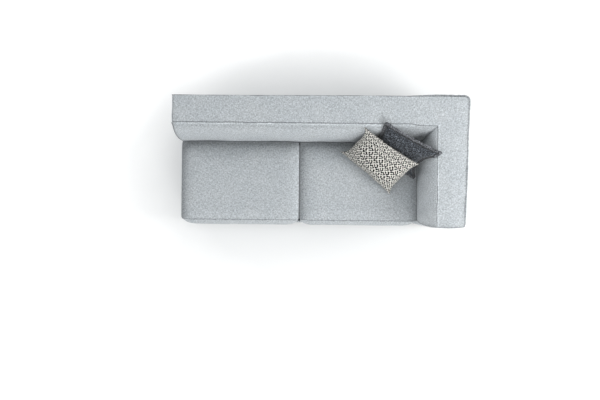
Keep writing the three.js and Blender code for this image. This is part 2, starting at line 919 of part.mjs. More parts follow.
buildBase();
buildRibs();
buildTopRails();
buildBoards();
buildSprings();
buildDeck();
buildPads();
buildCovers();
buildBaseCovers();
buildFeet();
buildDockingPlates();
buildSeatCushions();
buildScatterCushion("grey_cushion", greyCushion, "charcoal");
buildScatterCushion("patterned_cushion", patternedCushion, "pattern");

export default unit;
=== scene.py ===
"""One-arm two-seat sofa unit with two scatter cushions, seen from above on a pale floor."""

from functools import partialmethod
from math import atan2, copysign, cos, pi, radians, sin, sqrt

import bmesh
import bpy
import numpy as np
from mathutils import Euler, Matrix, Vector
from mathutils.bvhtree import BVHTree


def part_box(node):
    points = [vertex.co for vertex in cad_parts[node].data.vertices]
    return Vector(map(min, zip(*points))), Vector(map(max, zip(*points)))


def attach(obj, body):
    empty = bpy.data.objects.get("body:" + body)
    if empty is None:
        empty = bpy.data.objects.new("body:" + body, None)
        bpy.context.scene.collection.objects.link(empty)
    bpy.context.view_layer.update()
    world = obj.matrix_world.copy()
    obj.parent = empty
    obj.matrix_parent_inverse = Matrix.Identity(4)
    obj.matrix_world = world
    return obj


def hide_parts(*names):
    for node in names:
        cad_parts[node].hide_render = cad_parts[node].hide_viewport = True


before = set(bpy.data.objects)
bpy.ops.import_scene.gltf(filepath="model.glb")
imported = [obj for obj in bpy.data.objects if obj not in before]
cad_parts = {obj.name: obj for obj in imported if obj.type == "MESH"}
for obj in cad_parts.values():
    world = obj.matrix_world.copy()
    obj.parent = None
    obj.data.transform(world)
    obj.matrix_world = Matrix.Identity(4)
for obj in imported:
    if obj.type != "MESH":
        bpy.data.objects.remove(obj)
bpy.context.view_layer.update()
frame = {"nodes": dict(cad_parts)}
nodes, scene = frame["nodes"], bpy.context.scene

# Sizes of the unit, in metres
HALF_WIDTH, HALF_DEPTH = 1.150, 0.510
SEAM_TOP, CROWN, TOP_WIDTH = 0.774, 0.006, 0.222
SEAT_TOP, DECK_TOP, FOOT_TOP = 0.440, 0.2465, 0.045
BACK_SEAM, BACK_REACH = 0.288, 0.098
ARM_SEAM, ARM_REACH = 0.907, 0.086
ARM_TAPER, ARM_ROUND, ARM_SET_BACK = 0.030, 0.042, 0.007
BACK_FRONT = BACK_SEAM - BACK_REACH
ARM_INNER = ARM_SEAM - ARM_REACH
REAR_ROUND, HEM = 0.040, 0.014
BASE_FRONT, BASE_LEFT, BASE_RIGHT, BASE_ROUND = -0.490, -1.142, 0.8205, 0.016
SEAT_GAP = 0.003
SEAT_FRONT, SEAT_REAR = -HALF_DEPTH + 0.044, BACK_FRONT - SEAT_GAP
SEAT_BOTTOM = DECK_TOP + 0.0003
SEAT_WIDTH = (ARM_INNER - SEAT_GAP - BASE_LEFT - SEAT_GAP) / 2

# Where the dark grey cushion's corner presses into the top of the back, which is dented there and given a
# painted shadow
PRESS = (0.478, 0.330)

# Length, width and thickness of the scatter cushions, and their cut panels as shares of the sewn sides
GREY_SIZE, PATTERNED_SIZE, GREY_FLANGE = (0.492, 0.410, 0.104), (0.500, 0.372, 0.098), 0.026
CUT_LONG_SHARE, CUT_WIDE_SHARE = 1.05, 1.06


# Helpers for numbers
def waves(points, length, seed, count=9):
    """Smooth seeded noise, about -1 to 1, from sines of about this wavelength."""
    rng = np.random.default_rng(seed)
    points = np.asarray(points, float)
    turns = rng.normal(size=(count, points.shape[-1]))
    turns /= np.linalg.norm(turns, axis=1)[:, None]
    turns *= (2 * pi / length) * rng.uniform(0.6, 1.5, count)[:, None]
    phases = rng.uniform(0, 2 * pi, count)
    return np.sin(points @ turns.T + phases).sum(-1) * sqrt(1.2 / count)


def smooth(x, low, high):
    """Rises from 0 at low to 1 at high."""
    t = np.clip((np.asarray(x, float) - low) / (high - low), 0, 1)
    return t * t * (3 - 2 * t)


def bell(x, width):
    """Falls from 1 at zero to both sides, level at first."""
    return np.exp(-((x / width) ** 2))


def fade(x, length):
    """Falls from 1 at zero to both sides, steeply at first."""
    return np.exp(-np.abs(x) / length)


def near(gap, reach, power=1.5):
    """Falls from 1 at an edge to 0 a few reaches inside it."""
    return np.exp(-((np.maximum(gap, 0) / reach) ** power))


def unit(vectors):
    return vectors / np.maximum(np.linalg.norm(vectors, axis=-1), 1e-9)[..., None]


def run_of(points):
    """Length along a path, up to each of its points."""
    return np.concatenate([[0], np.cumsum(np.linalg.norm(np.diff(points, axis=0), axis=1))])


def coons(bottom, top, left, right):
    """Points of a patch between four edges. Bottom and top run across, left and right run up."""
    cols, rows = len(bottom), len(left)
    a = np.linspace(0, 1, cols)[None, :, None]
    b = np.linspace(0, 1, rows)[:, None, None]
    across = left[:, None] * (1 - a) + right[:, None] * a
    up = bottom[None] * (1 - b) + top[None] * b
    low_corners = bottom[0] * (1 - a) * (1 - b) + bottom[-1] * a * (1 - b)
    return across + up - (low_corners + top[0] * (1 - a) * b + top[-1] * a * b)


def seam_relief(distance):
    """Height of the cloth by its distance from a plain seam, and how much the seam shades it."""
    d = np.abs(distance)
    groove, ridge = 0.0042 * bell(d, 0.0021), 0.0021 * bell(d - 0.0062, 0.0042)
    return ridge - groove, bell(d, 0.0030)


def even_steps(start, end, step, tight=(), fine=0.0025):
    """Values from start to end, with small steps beside the values in tight."""
    values = {round(start, 6), round(end, 6)}
    one_side = (0.9, 1.8, 3.2, 4, 4.9, 5.9, 7)
    for t in tight:
        beside = {round(t + side * k * fine, 6) for k in (0, *one_side) for side in (-1, 1)}
        values |= {v for v in beside if start < v < end}
    ordered = sorted(values)
    out = [ordered[0]]
    for a, b in zip(ordered, ordered[1:]):
        n = max(1, round((b - a) / step))
        out += [a + (b - a) * (i + 1) / n for i in range(n)]
    return np.array(out)


# Helpers for meshes
class Skin:
    """Collects grids of points into one mesh whose panels have their own uvs, in metres."""

    def __init__(self):
        self.points, self.quads, self.uvs, self.seam = [], [], [], []

    def grid(self, points, uv, seam=None, flip=False):
        """Adds a grid, with the value of the seam attribute at each point: dark seam lines and painted shade
        where positive, painted highlight where negative.
        """
        rows, cols = points.shape[:2]
        start = len(self.points)
        self.points.extend(points.reshape(-1, 3))
        self.seam.extend(np.zeros(rows * cols) if seam is None else np.asarray(seam).ravel())
        flat = uv.reshape(-1, 2)
        for r in range(rows - 1):
            for c in range(cols - 1):
                q = [r * cols + c, r * cols + c + 1, (r + 1) * cols + c + 1, (r + 1) * cols + c]
                if flip:
                    q.reverse()
                self.quads.append([start + i for i in q])
                self.uvs.extend(flat[i] for i in q)

    def make(self, name, merge=1e-5):
        """Mesh object of all grids, with the points merged that lie together."""
        mesh = bpy.data.meshes.new(name)
        mesh.from_pydata([tuple(p) for p in self.points], [], self.quads)
        layer = mesh.uv_layers.new(name="UVMap")
        layer.data.foreach_set("uv", np.asarray(self.uvs, np.float32).ravel())
        # the seam attribute holds dark seam lines, painted shade and painted highlight
        shade = mesh.attributes.new("seam", "FLOAT", "POINT")
        shade.data.foreach_set("value", np.asarray(self.seam, np.float32))
        bm = bmesh.new()
        bm.from_mesh(mesh)
        bmesh.ops.remove_doubles(bm, verts=bm.verts, dist=merge)
        bmesh.ops.recalc_face_normals(bm, faces=bm.faces)
        bm.to_mesh(mesh)
        bm.free()
        mesh.polygons.foreach_set("use_smooth", np.ones(len(mesh.polygons), bool))
        mesh.update()
        obj = bpy.data.objects.new(name, mesh)
        scene.collection.objects.link(obj)
        return obj


def joined(*parts):
    """Points or uvs from their parts, each spread to the shape of the largest."""
    return np.stack(np.broadcast_arrays(*parts), -1)


def worked_out(obj):
    """The object with its modifiers worked out."""
    return obj.evaluated_get(bpy.context.evaluated_depsgraph_get())


def points_of(obj):
    return np.array([v.co for v in obj.data.vertices], float)


def set_points(obj, points):
    obj.data.vertices.foreach_set("co", np.asarray(points, np.float32).ravel())
    obj.data.update()


def subdivide(obj):
    """Applies a subdivision surface to the mesh."""
    modifier = obj.modifiers.new("fine", "SUBSURF")
    modifier.levels = modifier.render_levels = 1
    modifier.uv_smooth = "NONE"
    mesh = bpy.data.meshes.new_from_object(worked_out(obj))
    obj.modifiers.remove(modifier)
    old, obj.data = obj.data, mesh
    bpy.data.meshes.remove(old)
    mesh.polygons.foreach_set("use_smooth", np.ones(len(mesh.polygons), bool))


def weight_group(obj, name, weights):
    """Vertex group with a weight for each point, where it is above nothing."""
    group = obj.vertex_groups.new(name=name)
    for i, w in enumerate(weights):
        if w > 0:
            group.add([i], float(w), "REPLACE")


def cloth(obj, pressure, frames, stiffness, bending, pins=None, loose=None, growth=0.0, cap=None):
    """Swells a closed mesh with cloth simulation. Pins hold points, and loose cloth grows by a share."""
    rest = points_of(obj)
    modifier = obj.modifiers.new("swell", "CLOTH")
    s = modifier.settings
    s.quality, s.mass = 5, 0.3
    s.tension_stiffness = s.compression_stiffness = stiffness
    s.shear_stiffness = stiffness / 3
    s.bending_stiffness = bending
    s.air_damping = 2
    s.use_pressure = True
    s.uniform_pressure_force = pressure
    s.effector_weights.gravity = 0
    modifier.collision_settings.use_collision = False
    modifier.collision_settings.use_self_collision = False
    if pins is not None:
        weight_group(obj, "pin", pins)
        s.vertex_group_mass = "pin"
    if loose is not None:
        weight_group(obj, "grow", loose)
        s.vertex_group_shrink = "grow"
        s.shrink_min, s.shrink_max = 0.0, -growth
    modifier.point_cache.frame_start, modifier.point_cache.frame_end = 1, frames
    scene.frame_start, scene.frame_end = 1, frames
    for f in range(1, frames + 1):
        scene.frame_set(f)
    move = points_of(worked_out(obj)) - rest
    obj.modifiers.remove(modifier)
    obj.vertex_groups.clear()
    scene.frame_set(1)
    if cap is not None:
        length = np.linalg.norm(move, axis=1)[:, None]
        move *= np.minimum(1, cap / np.maximum(length, 1e-9))
    return rest + move


# Materials
class Wire:
    """A shader value that stands in sums, so that a material reads as a formula."""

    def __init__(self, shader, socket):
        self.shader, self.socket = shader, socket

    def sum(self, operation, other=0.0):
        return self.shader.math(operation, self, other)

    def __rsub__(self, other):
        return self.shader.math("SUBTRACT", other, self)

    __add__, __sub__ = partialmethod(sum, "ADD"), partialmethod(sum, "SUBTRACT")
    __mul__, __truediv__ = partialmethod(sum, "MULTIPLY"), partialmethod(sum, "DIVIDE")
    __gt__, __lt__ = partialmethod(sum, "GREATER_THAN"), partialmethod(sum, "LESS_THAN")
    __mod__, __abs__ = partialmethod(sum, "MODULO"), partialmethod(sum, "ABSOLUTE")


class Shader:
    """Small builder of node materials."""

    def __init__(self, name, roughness, metallic=0.0, sheen=0.0, specular=0.3):
        self.material = bpy.data.materials.new(name)
        self.material.use_nodes = True
        self.tree = self.material.node_tree
        self.main = self.tree.nodes["Principled BSDF"]
        look = {"Roughness": roughness, "Metallic": metallic, "Sheen Weight": sheen, "Sheen Roughness": 0.6}
        for key, value in {**look, "Specular IOR Level": specular}.items():
            self.link(value, self.main.inputs[key])

    def link(self, value, socket):
        if isinstance(value, Wire):
            self.tree.links.new(value.socket, socket)
        else:
            socket.default_value = value

    def node(self, kind, inputs=(), **settings):
        """Adds a node. Its outputs are read by name or number through out."""
        made = self.tree.nodes.new(kind)
        for key, value in settings.items():
            setattr(made, key, value)
        for key, value in dict(inputs).items():
            self.link(value, made.inputs[key])
        return made

    def out(self, node, output=0):
        return Wire(self, node.outputs[output])

    def math(self, operation, a, b=0.0):
        return self.out(self.node("ShaderNodeMath", {0: a, 1: b}, operation=operation))

    def place(self, source="UV"):
        return self.out(self.node("ShaderNodeTexCoord"), source)

    def split(self, vector):
        made = self.node("ShaderNodeSeparateXYZ", {0: vector})
        return [self.out(made, k) for k in range(3)]

    def join(self, x, y, z):
        return self.out(self.node("ShaderNodeCombineXYZ", {0: x, 1: y, 2: z}))

    def noise(self, vector, scale, detail=2.0, rough=0.5):
        inputs = {"Vector": vector, "Scale": scale, "Detail": detail, "Roughness": rough}
        return self.out(self.node("ShaderNodeTexNoise", inputs), "Fac")

    # reads the seam attribute: dark seam lines, painted shade and painted highlight
    def seam(self):
        return self.out(self.node("ShaderNodeAttribute", attribute_name="seam"), "Fac")

    def ramp(self, value, stops):
        made = self.node("ShaderNodeValToRGB", {"Fac": value})
        ramp = made.color_ramp
        while len(ramp.elements) < len(stops):
            ramp.elements.new(0.5)
        for element, (at, color) in zip(ramp.elements, stops):
            element.position = at
            element.color = (*color, 1)
        return self.out(made, "Color")

    def mix(self, share, a, b, blend="MIX"):
        made = self.node("ShaderNodeMix", data_type="RGBA", blend_type=blend)
        self.link(share, made.inputs[0])
        self.link(a if isinstance(a, Wire) else (*a, 1), made.inputs[6])
        self.link(b if isinstance(b, Wire) else (*b, 1), made.inputs[7])
        return self.out(made, 2)

    def dim(self, color, share):
        """Color times a share."""
        return self.mix(1.0, color, self.join(share, share, share), "MULTIPLY")

    def finish(self, color, height=None, distance=0.001, strength=0.5):
        self.link(color, self.main.inputs["Base Color"])
        if height is not None:
            bump = self.node("ShaderNodeBump", {"Height": height, "Distance": distance, "Strength": strength})
            self.link(self.out(bump), self.main.inputs["Normal"])
        return self.material


def srgb(r, g, b):
    def linear(c):
        c /= 255
        return c / 12.92 if c <= 0.04045 else ((c + 0.055) / 1.055) ** 2.4

    return linear(r), linear(g), linear(b)


def scaled(color, factor):
    return tuple(c * factor for c in color)


def odd_cell(i, j):
    """1 in every second cell of a chequer. The even number added keeps the sum above nothing."""
    return (i + (j + 2000.0)) % 2.0 > 0.5


def weave_height(s, fu, fv):
    """Plain weave: its height, the number of each yarn, and 1 where the warp lies on top."""
    iu, iv = s.math("FLOOR", fu), s.math("FLOOR", fv)
    over = odd_cell(iu, iv)
    round_u, round_v = abs(s.math("SINE", fu * pi)), abs(s.math("SINE", fv * pi))
    warp, weft = round_u * (round_v * 0.6 + 0.4), round_v * (round_u * 0.6 + 0.4)
    return warp * over + weft * (1.0 - over), iu, iv, over


def woven(name, base, contrast, pitch=0.0034, seam_and_painted_light_depth=0.55, sheen=0.12, warm=0.0, streaks=0.0):
    """Melange cloth: slubby light and dark yarns in a plain weave, a little uneven in tint, with painted
    shade and painted highlight from the seam attribute.
    """
    s = Shader(name, 0.93, sheen=sheen, specular=0.15)
    place = s.place("UV")
    u, v, _ = s.split(place)
    height, iu, iv, over = weave_height(s, u / pitch, v / pitch)
    slub, yarn_jump, fine, coarse = 0.022, 3.17, 190.0, 60.0
    warp_tone = s.noise(s.join(iu * yarn_jump, v / slub, 1.5), 1.0, 2.5, 0.6)
    weft_tone = s.noise(s.join(u / slub, iv * yarn_jump, 7.5), 1.0, 2.5, 0.6)
    across_fleck = s.noise(s.join(u * fine, v * coarse, 2.0), 1.0, 1.0, 0.5)
    along_fleck = s.noise(s.join(u * coarse, v * fine, 5.0), 1.0, 1.0, 0.5)
    fleck = (across_fleck + along_fleck) * 0.5
    tone = (warp_tone * over + weft_tone * (1.0 - over)) * 0.4 + fleck * 0.6
    low, high = scaled(base, 1 - contrast), scaled(base, 1 + contrast)
    yarn = s.ramp(tone, [(0.33, scaled(low, 0.93)), (0.44, low), (0.56, high), (0.69, scaled(high, 1.08))])
    if streaks:
        slubs = s.noise(s.join(u * 165.0, v * coarse, 9.0), 1.0, 2.0, 0.6)
        yarn = s.mix(1.0, yarn, s.ramp(slubs, [(0.42, (0.48,) * 3), (0.66, (1 + streaks,) * 3)]), "MULTIPLY")
    cool, warmer = (0.965 - warm, 0.965, 0.965 + warm), (1.03 + warm, 1.03, 1.03 - warm)
    yarn = s.mix(1.0, yarn, s.ramp(s.noise(place, 4.5, 3.0, 0.6), [(0.3, cool), (0.7, warmer)]), "MULTIPLY")
    # painted shade in the low parts of the weave
    yarn = s.dim(yarn, 1.0 - (1.0 - height) * 0.35)
    # painted shade where the seam attribute is positive, painted highlight where it is negative
    yarn = s.dim(yarn, 1.0 - s.seam() * seam_and_painted_light_depth)
    return s.finish(yarn, height + fleck * 0.9, 0.0012, 0.55)


def fret_shape(s, u, v, cell):
    """1 on the light lines of a key fret on the point: a broken lattice, with a bar and a hook inside."""
    diagonal = cell * sqrt(2)
    a, b = (u + v) / diagonal, (u - v) / diagonal
    ia, ib = s.math("FLOOR", a), s.math("FLOOR", b)
    x, y = a - ia - 0.5, b - ib - 0.5
    # each second cell is turned a quarter
    odd = odd_cell(ia, ib)
    even = 1.0 - odd
    p, q = x * even + y * odd, y * even - x * odd
    gate = (abs(q - 0.21) < 0.10) * (p > 0.0)
    low_break = (abs(p + 0.16) < 0.12) * (q < 0.0)
    lattice = (s.math("MAXIMUM", abs(p), abs(q)) > 0.39) * (1.0 - gate) * (1.0 - low_break)
    bar = (abs(q + 0.03) < 0.105) * (p < 0.16)
    hook = (abs(p - 0.06) < 0.10) * (abs(q - 0.09) < 0.11)
    return s.math("MINIMUM", 1.0, lattice + (bar + hook))


def fretwork(name, light, dark, half_length, cell=0.031, pitch=0.0031):
    """Small woven key fret in light yarn on dark, with a striped welt at one short side."""
    s = Shader(name, 0.92, sheen=0.1, specular=0.15)
    u, v, _ = s.split(s.place("UV"))
    shape = fret_shape(s, u, v, cell)
    height, iu, _, _ = weave_height(s, u / pitch, v / pitch)
    tone = s.noise(s.join(iu * 2.3, v / 0.01, 3.0), 1.0, 2.0, 0.6)
    light_yarn = s.ramp(tone, [(0.35, scaled(light, 0.84)), (0.65, scaled(light, 1.05))])
    dark_yarn = s.ramp(tone, [(0.35, scaled(dark, 0.7)), (0.65, scaled(dark, 1.35))])
    yarn = s.mix(shape, dark_yarn, light_yarn)
    half_welt, stripes_per_metre = 0.013, 380.0
    welt = abs(u - (half_length - half_welt)) < half_welt
    stripe = s.math("SINE", (v + u * 0.6) * stripes_per_metre) > 0.0
    yarn = s.mix(welt, yarn, s.mix(stripe, srgb(228, 218, 198), srgb(36, 28, 22)))
    # painted shade in the low parts of the weave
    yarn = s.dim(yarn, 1.0 - (1.0 - height) * 0.18)
    # painted shade from the seam attribute: dark edges and the lower-left half of the cushion
    yarn = s.mix(s.seam() * 0.6, yarn, scaled(dark, 0.7))
    return s.finish(yarn, height + shape * 0.7, 0.001, 0.6)


def grained(name, low, high, length, across):
    """Sawn timber: long grain with slow rings and small pores."""
    s = Shader(name, 0.62)
    x, y, z = s.split(s.place("Object"))
    axis = {"x": (x, y, z), "y": (y, x, z), "z": (z, x, y)}[length]
    stretched = s.join(axis[0] * 3.0, axis[1] * across, axis[2] * across)
    rings = s.noise(stretched, 1.0, 4.0, 0.55)
    pores = s.noise(stretched, 9.0, 2.0, 0.6)
    color = s.ramp(rings, [(0.3, low), (0.52, high), (0.6, scaled(low, 0.9)), (0.75, high)])
    color = s.mix(0.25, color, s.ramp(pores, [(0.4, scaled(low, 0.6)), (0.6, high)]))
    return s.finish(color, rings + pores, 0.0006, 0.4)


def speckled(name, low, high, scale, roughness=0.9, distance=0.001, metallic=0.0, strength=0.5):
    """Foam, felt, board, lining, moulded plastic or rolled steel: two tones in a fine random grain."""
    s = Shader(name, roughness, metallic)
    place = s.place("Object")
    fine, coarse = s.noise(place, scale, 4.0, 0.65), s.noise(place, scale / 14, 3.0, 0.5)
    tone = fine * 0.7 + coarse * 0.3
    return s.finish(s.ramp(tone, [(0.38, low), (0.62, high)]), fine, distance, strength)


sofa_cloth = woven("sofa_cloth", srgb(195, 200, 203), 0.265, warm=0.006)
charcoal_cloth = woven("charcoal_cloth", srgb(49, 52, 56), 0.75, pitch=0.0024, seam_and_painted_light_depth=0.6, streaks=3.9)
charcoal_hem = woven(
    "charcoal_hem", srgb(93, 95, 99), 0.7, pitch=0.0024, seam_and_painted_light_depth=0.75, sheen=0.3, streaks=1.2
)
fret_half_length = PATTERNED_SIZE[0] / 2 * CUT_LONG_SHARE
fret_cloth = fretwork("fret_cloth", srgb(238, 236, 228), srgb(17, 17, 17), fret_half_length)
pine_x = grained("pine_along_x", srgb(176, 138, 92), srgb(215, 182, 134), "x", 60.0)
pine_y = grained("pine_along_y", srgb(176, 138, 92), srgb(215, 182, 134), "y", 60.0)
plywood = grained("plywood", srgb(190, 155, 108), srgb(222, 192, 146), "z", 45.0)
hardboard = speckled("hardboard", srgb(112, 80, 52), srgb(140, 104, 70), 420.0)
foam = speckled("foam", srgb(232, 222, 188), srgb(246, 238, 210), 700.0, distance=0.002)
felt = speckled("felt", srgb(110, 110, 107), srgb(152, 150, 146), 520.0)
lining = speckled("lining", srgb(30, 31, 33), srgb(52, 53, 56), 900.0, 0.95)
steel = speckled("steel", srgb(118, 121, 125), srgb(146, 149, 152), 160.0, 0.42, 0.0002, 1.0, 0.2)
plastic = speckled("foot_plastic", srgb(26, 27, 29), srgb(38, 39, 41), 900.0, 0.45, 0.0003)
fibre = speckled("fibre", srgb(236, 236, 232), srgb(250, 250, 248), 300.0)


# A node is made of the first material that has one of these words in the node's name
MADE_OF = (
    (pine_y, ("left_rail", "right_rail", "arm_rail", "centre_rail", "arm_top_rail", "corner_block")),
    (pine_x, ("rail", "batten")),
    (plywood, ("_rib_", "back_end_panel")),
    (hardboard, ("_board",)),
    (felt, ("spring_felt",)),
    (steel, ("seat_spring", "docking_plate")),
    (foam, ("_pad", "_core", "_wedge")),
    (fibre, ("_fill",)),
    (plastic, ("foot_",)),
    (lining, ("",)),
)
for name, obj in nodes.items():
    obj.data.materials.clear()
    obj.data.materials.append(next(made for made, words in MADE_OF if any(word in name for word in words)))
    obj.data.polygons.foreach_set("use_smooth", np.zeros(len(obj.data.polygons), bool))


# Back and arm cover
def outer_x(y):
    """Outer face of the arm, which tapers towards the front."""
    return HALF_WIDTH - ARM_TAPER * (HALF_DEPTH - y) / (2 * HALF_DEPTH)


def front_y(x):
    """Plan of the arm's front: a rounded inner corner and a slight crown."""
    front = -HALF_DEPTH + CROWN + ARM_SET_BACK
    x = np.asarray(x, float)
    s = np.sqrt(np.clip((x - ARM_INNER) / ARM_ROUND, 0, 1))
    t = np.clip((x - ARM_INNER - ARM_ROUND) / (outer_x(front) - ARM_INNER - ARM_ROUND), 0, 1)
    return front + ARM_ROUND * (1 - s) ** 2 - 4 * CROWN * t * (1 - t)


def section_rows():
    """Rows of the section from the outer to the inner hem: zone, part of the reach, height and hem."""
    outer = even_steps(FOOT_TOP, SEAM_TOP, 0.028, (SEAM_TOP,))
    rows = [("outer", 1.0, FOOT_TOP, HEM)]
    rows += [("outer", 1.0, z, 0.0) for z in outer[:-1]]
    for d in even_steps(0, TOP_WIDTH, 0.0125, (0, TOP_WIDTH))[:-1]:
        part = 1 - d / TOP_WIDTH
        rows.append(("top", part, SEAM_TOP + 4 * CROWN * part * (1 - part), 0.0))
    fall, down = SEAM_TOP - SEAT_TOP, SEAT_TOP - DECK_TOP
    arc = np.linspace(0, 1, 400)
    run = run_of(joined(BACK_REACH * np.sin(arc * pi / 2), fall * np.cos(arc * pi / 2)))
    steps = even_steps(0, run[-1] + down, 0.026, (0,))
    count = int(np.sum(outer >= DECK_TOP))
    for s in np.interp(np.linspace(0, 1, count), np.linspace(0, 1, len(steps)), steps):
        turn = np.interp(min(s, run[-1]), run, arc) * pi / 2
        if s < run[-1]:
            rows.append(("inner", -sin(turn), SEAT_TOP + fall * cos(turn), 0.0))
        else:
            rows.append(("inner", -1.0, SEAT_TOP - (s - run[-1]), 0.0))
    rows.append(("inner", -1.0, DECK_TOP, HEM))
    return rows


def ease_ends(count, tight):
    """Even shares with a few closer ones at both ends."""
    close = tight * np.array([0.12, 0.3, 0.6])
    return np.unique(np.concatenate([np.linspace(0, 1, count), close, 1 - close]))


# Shares along the back, round the corner and along the arm
BACK_COLUMNS, ARM_COLUMNS = ease_ends(190, 0.012), ease_ends(74, 0.025)
BEND_COLUMNS = np.linspace(0, 1, 11)[1:-1]


def row_line(zone, part, z, hem):
    """Points of one row, from the left end of the back round the corner to the arm's front."""
    turned_in = -hem if zone == "outer" else hem
    y_back = BACK_SEAM + part * (HALF_DEPTH - BACK_SEAM if part > 0 else BACK_REACH) + turned_in

    def x_arm(y):
        reach = outer_x(y) - ARM_SEAM if part > 0 else ARM_REACH
        return ARM_SEAM + reach * part + turned_in

    left = -HALF_WIDTH + (0.0015 * sin(pi * part) if part >= 0 else 0)
    radius = max(0.005, REAR_ROUND * max(part, 0.0) ** 1.5)
    corner, end_y = x_arm(y_back), float(front_y(x_arm(-HALF_DEPTH)))
    back_x = left + (corner - radius - left) * BACK_COLUMNS
    arm_y = (y_back - radius) + (end_y - y_back + radius) * ARM_COLUMNS
    b = BEND_COLUMNS
    bend_x = (1 - b) ** 2 * (corner - radius) + 2 * b * (1 - b) * corner + b * b * x_arm(y_back - radius)
    bend_y = (1 - b) ** 2 * y_back + 2 * b * (1 - b) * y_back + b * b * (y_back - radius)
    pieces = (joined(back_x, y_back, z), joined(bend_x, bend_y, z), joined(x_arm(arm_y), arm_y, z))
    return np.concatenate(pieces)


class CoverGrid:
    """Rows and columns of the cover before its relief, with their distances from seams and ends."""

    def __init__(self):
        rows = section_rows()
        zones = np.array([row[0] for row in rows])
        self.points = np.array([row_line(*row) for row in rows])
        self.heights = np.array([row[2] for row in rows])[:, None]
        self.hems = np.array([row[3] > 0 for row in rows])[:, None]
        self.outer, self.inner = (zones == "outer")[:, None], (zones == "inner")[:, None]
        self.top_start, self.inner_start = int(np.argmax(zones == "top")), int(np.argmax(zones == "inner"))
        self.measure_runs(len(rows))
        self.below = np.maximum(SEAM_TOP - self.heights, 0)
        self.share_down = np.clip(self.past_inner / 0.42, 0, 1)

    def measure_runs(self, row_count):
        """Runs along and across the rows, and the columns' places beside the bend and the two ends."""
        steps = np.linalg.norm(np.diff(self.points, axis=1), axis=2)
        self.run = np.concatenate([np.zeros((row_count, 1)), np.cumsum(steps, 1)], 1)
        self.seam_run = self.run[self.top_start : self.top_start + 1].repeat(row_count, 0)
        measured_column = 60
        self.lengths = run_of(self.points[:, measured_column])[:, None]
        self.past_outer = self.lengths - self.lengths[self.top_start]
        self.past_inner = self.lengths - self.lengths[self.inner_start]
        column = np.arange(self.points.shape[1])
        bend = len(BACK_COLUMNS) + len(BEND_COLUMNS) // 2
        self.past_bend = (column > bend)[None]
        self.from_bend = np.abs(self.run - self.run[:, bend : bend + 1])
        self.from_left, self.from_front = self.run, self.run[:, -1:] - self.run
        self.ends = smooth(np.minimum(column, column[-1] - column), 0, 6)[None]

    def directions(self):
        """Unit vectors across the rows and out of the cover."""
        across = unit(np.gradient(self.points, axis=0))
        return across, unit(np.cross(across, unit(np.gradient(self.points, axis=1))))

    def along(self, length, seed):
        """Noise along the rows."""
        return waves(self.seam_run[..., None], length, seed)

    def over_face(self, stretch, length, seed):
        """Noise over the inner faces, drawn out downwards by a low stretch."""
        return waves(joined(self.seam_run, stretch * self.share_down), length, seed)


def seam_lines(g):
    """Relief and shade of the two seams along the top, with the cloth puckered beside them."""
    relief, shade = 0 * g.run, 0 * g.run
    set_back = 0.0125 * (1 - smooth(g.seam_run, 2.00, 2.12))
    for distance, seed in ((g.past_outer, 11), (g.past_inner + set_back, 23)):
        height, dark = seam_relief(distance)
        pucker = g.along(0.052, seed) + 0.7 * g.along(0.027, seed + 1)
        side = np.where(distance < 0, 1.0, 0.8)
        relief += height
        relief += 0.0008 * side * pucker * fade(distance, 0.024) * (1 - bell(distance, 0.004))
        shade = np.maximum(shade, dark)
    return relief, shade


def crease_line(g):
    """1 along the mitred crease where the inner faces of the back and the arm meet."""
    return np.where(g.inner, bell(g.from_bend, 0.007) * smooth(g.share_down, 0.0, 0.04), 0)


def cover_relief(g, seams):
    """Height of the stuffed cloth over the plain grid."""
    relief = seams + (0.0016 * waves(g.points, 0.30, 5) + 0.0006 * waves(g.points, 0.11, 6))
    relief += g.inner * 0.0026 * g.over_face(0.25, 0.21, 31) * np.sin(pi * g.share_down)
    up_share = np.clip((g.heights - FOOT_TOP) / (SEAM_TOP - FOOT_TOP), 0, 1)
    relief += g.outer * 0.0055 * np.sin(pi * up_share**1.6)
    # the outer panel starts level with the seam behind the back and swells out at the right
    right_share = smooth(g.seam_run, 1.78, 2.05)
    relief *= np.where(g.outer, right_share + (1 - right_share) * smooth(g.below, 0.0, 0.035), 1)
    round_off = np.sqrt(1 - (1 - np.clip(g.below / 0.012, 0, 1)) ** 2)
    relief += g.outer * 0.0125 * right_share * round_off * (1 - smooth(g.below, 0.03, 0.55))
    relief -= 0.003 * crease_line(g)
    folds = 0.0024 * fade(g.from_bend, 0.16) * g.over_face(1.5, 0.075, 37)
    relief += g.inner * folds * smooth(g.share_down, 0.02, 0.2)
    return np.where(g.hems, 0, relief) * (0.35 + 0.65 * g.ends)


def cover_shade(g, seams):
    """Painted shade on the cover: dark seam and end lines, shade in the crease, a darker band along the left
    end and a shadow under the inner seam; and a painted highlight line where the inner seam is rolled over.
    """
    # painted highlight along the rolled inner seam
    rolled = bell(g.past_inner - np.where(g.past_bend, -0.0080, 0.0005), 0.0036)
    rolled = rolled * np.clip(0.85 + 0.45 * g.along(0.34, 13), 0.1, 1.25)
    # painted shade in the crease, along the left end and under the rolled seam, with the dark seam lines
    dark = [seams, 0.35 * crease_line(g), 0.9 * bell(g.from_left, 0.0055), 0.9 * bell(g.from_front, 0.0055)]
    dark.append(1.2 * bell(g.from_left, 0.010) * g.inner)
    dark.append(0.9 * bell(g.past_outer, 0.0042) * ~g.inner + 0 * g.run)
    dark.append(0.22 * fade(g.from_left, 0.018) * ~g.outer)
    dark.append(0.26 * (g.inner & ~g.past_bend) * bell(g.past_inner - 0.024, 0.018))
    shade = np.maximum.reduce(dark)
    return shade - 0.66 * rolled * (1 - np.clip(shade, 0, 1))


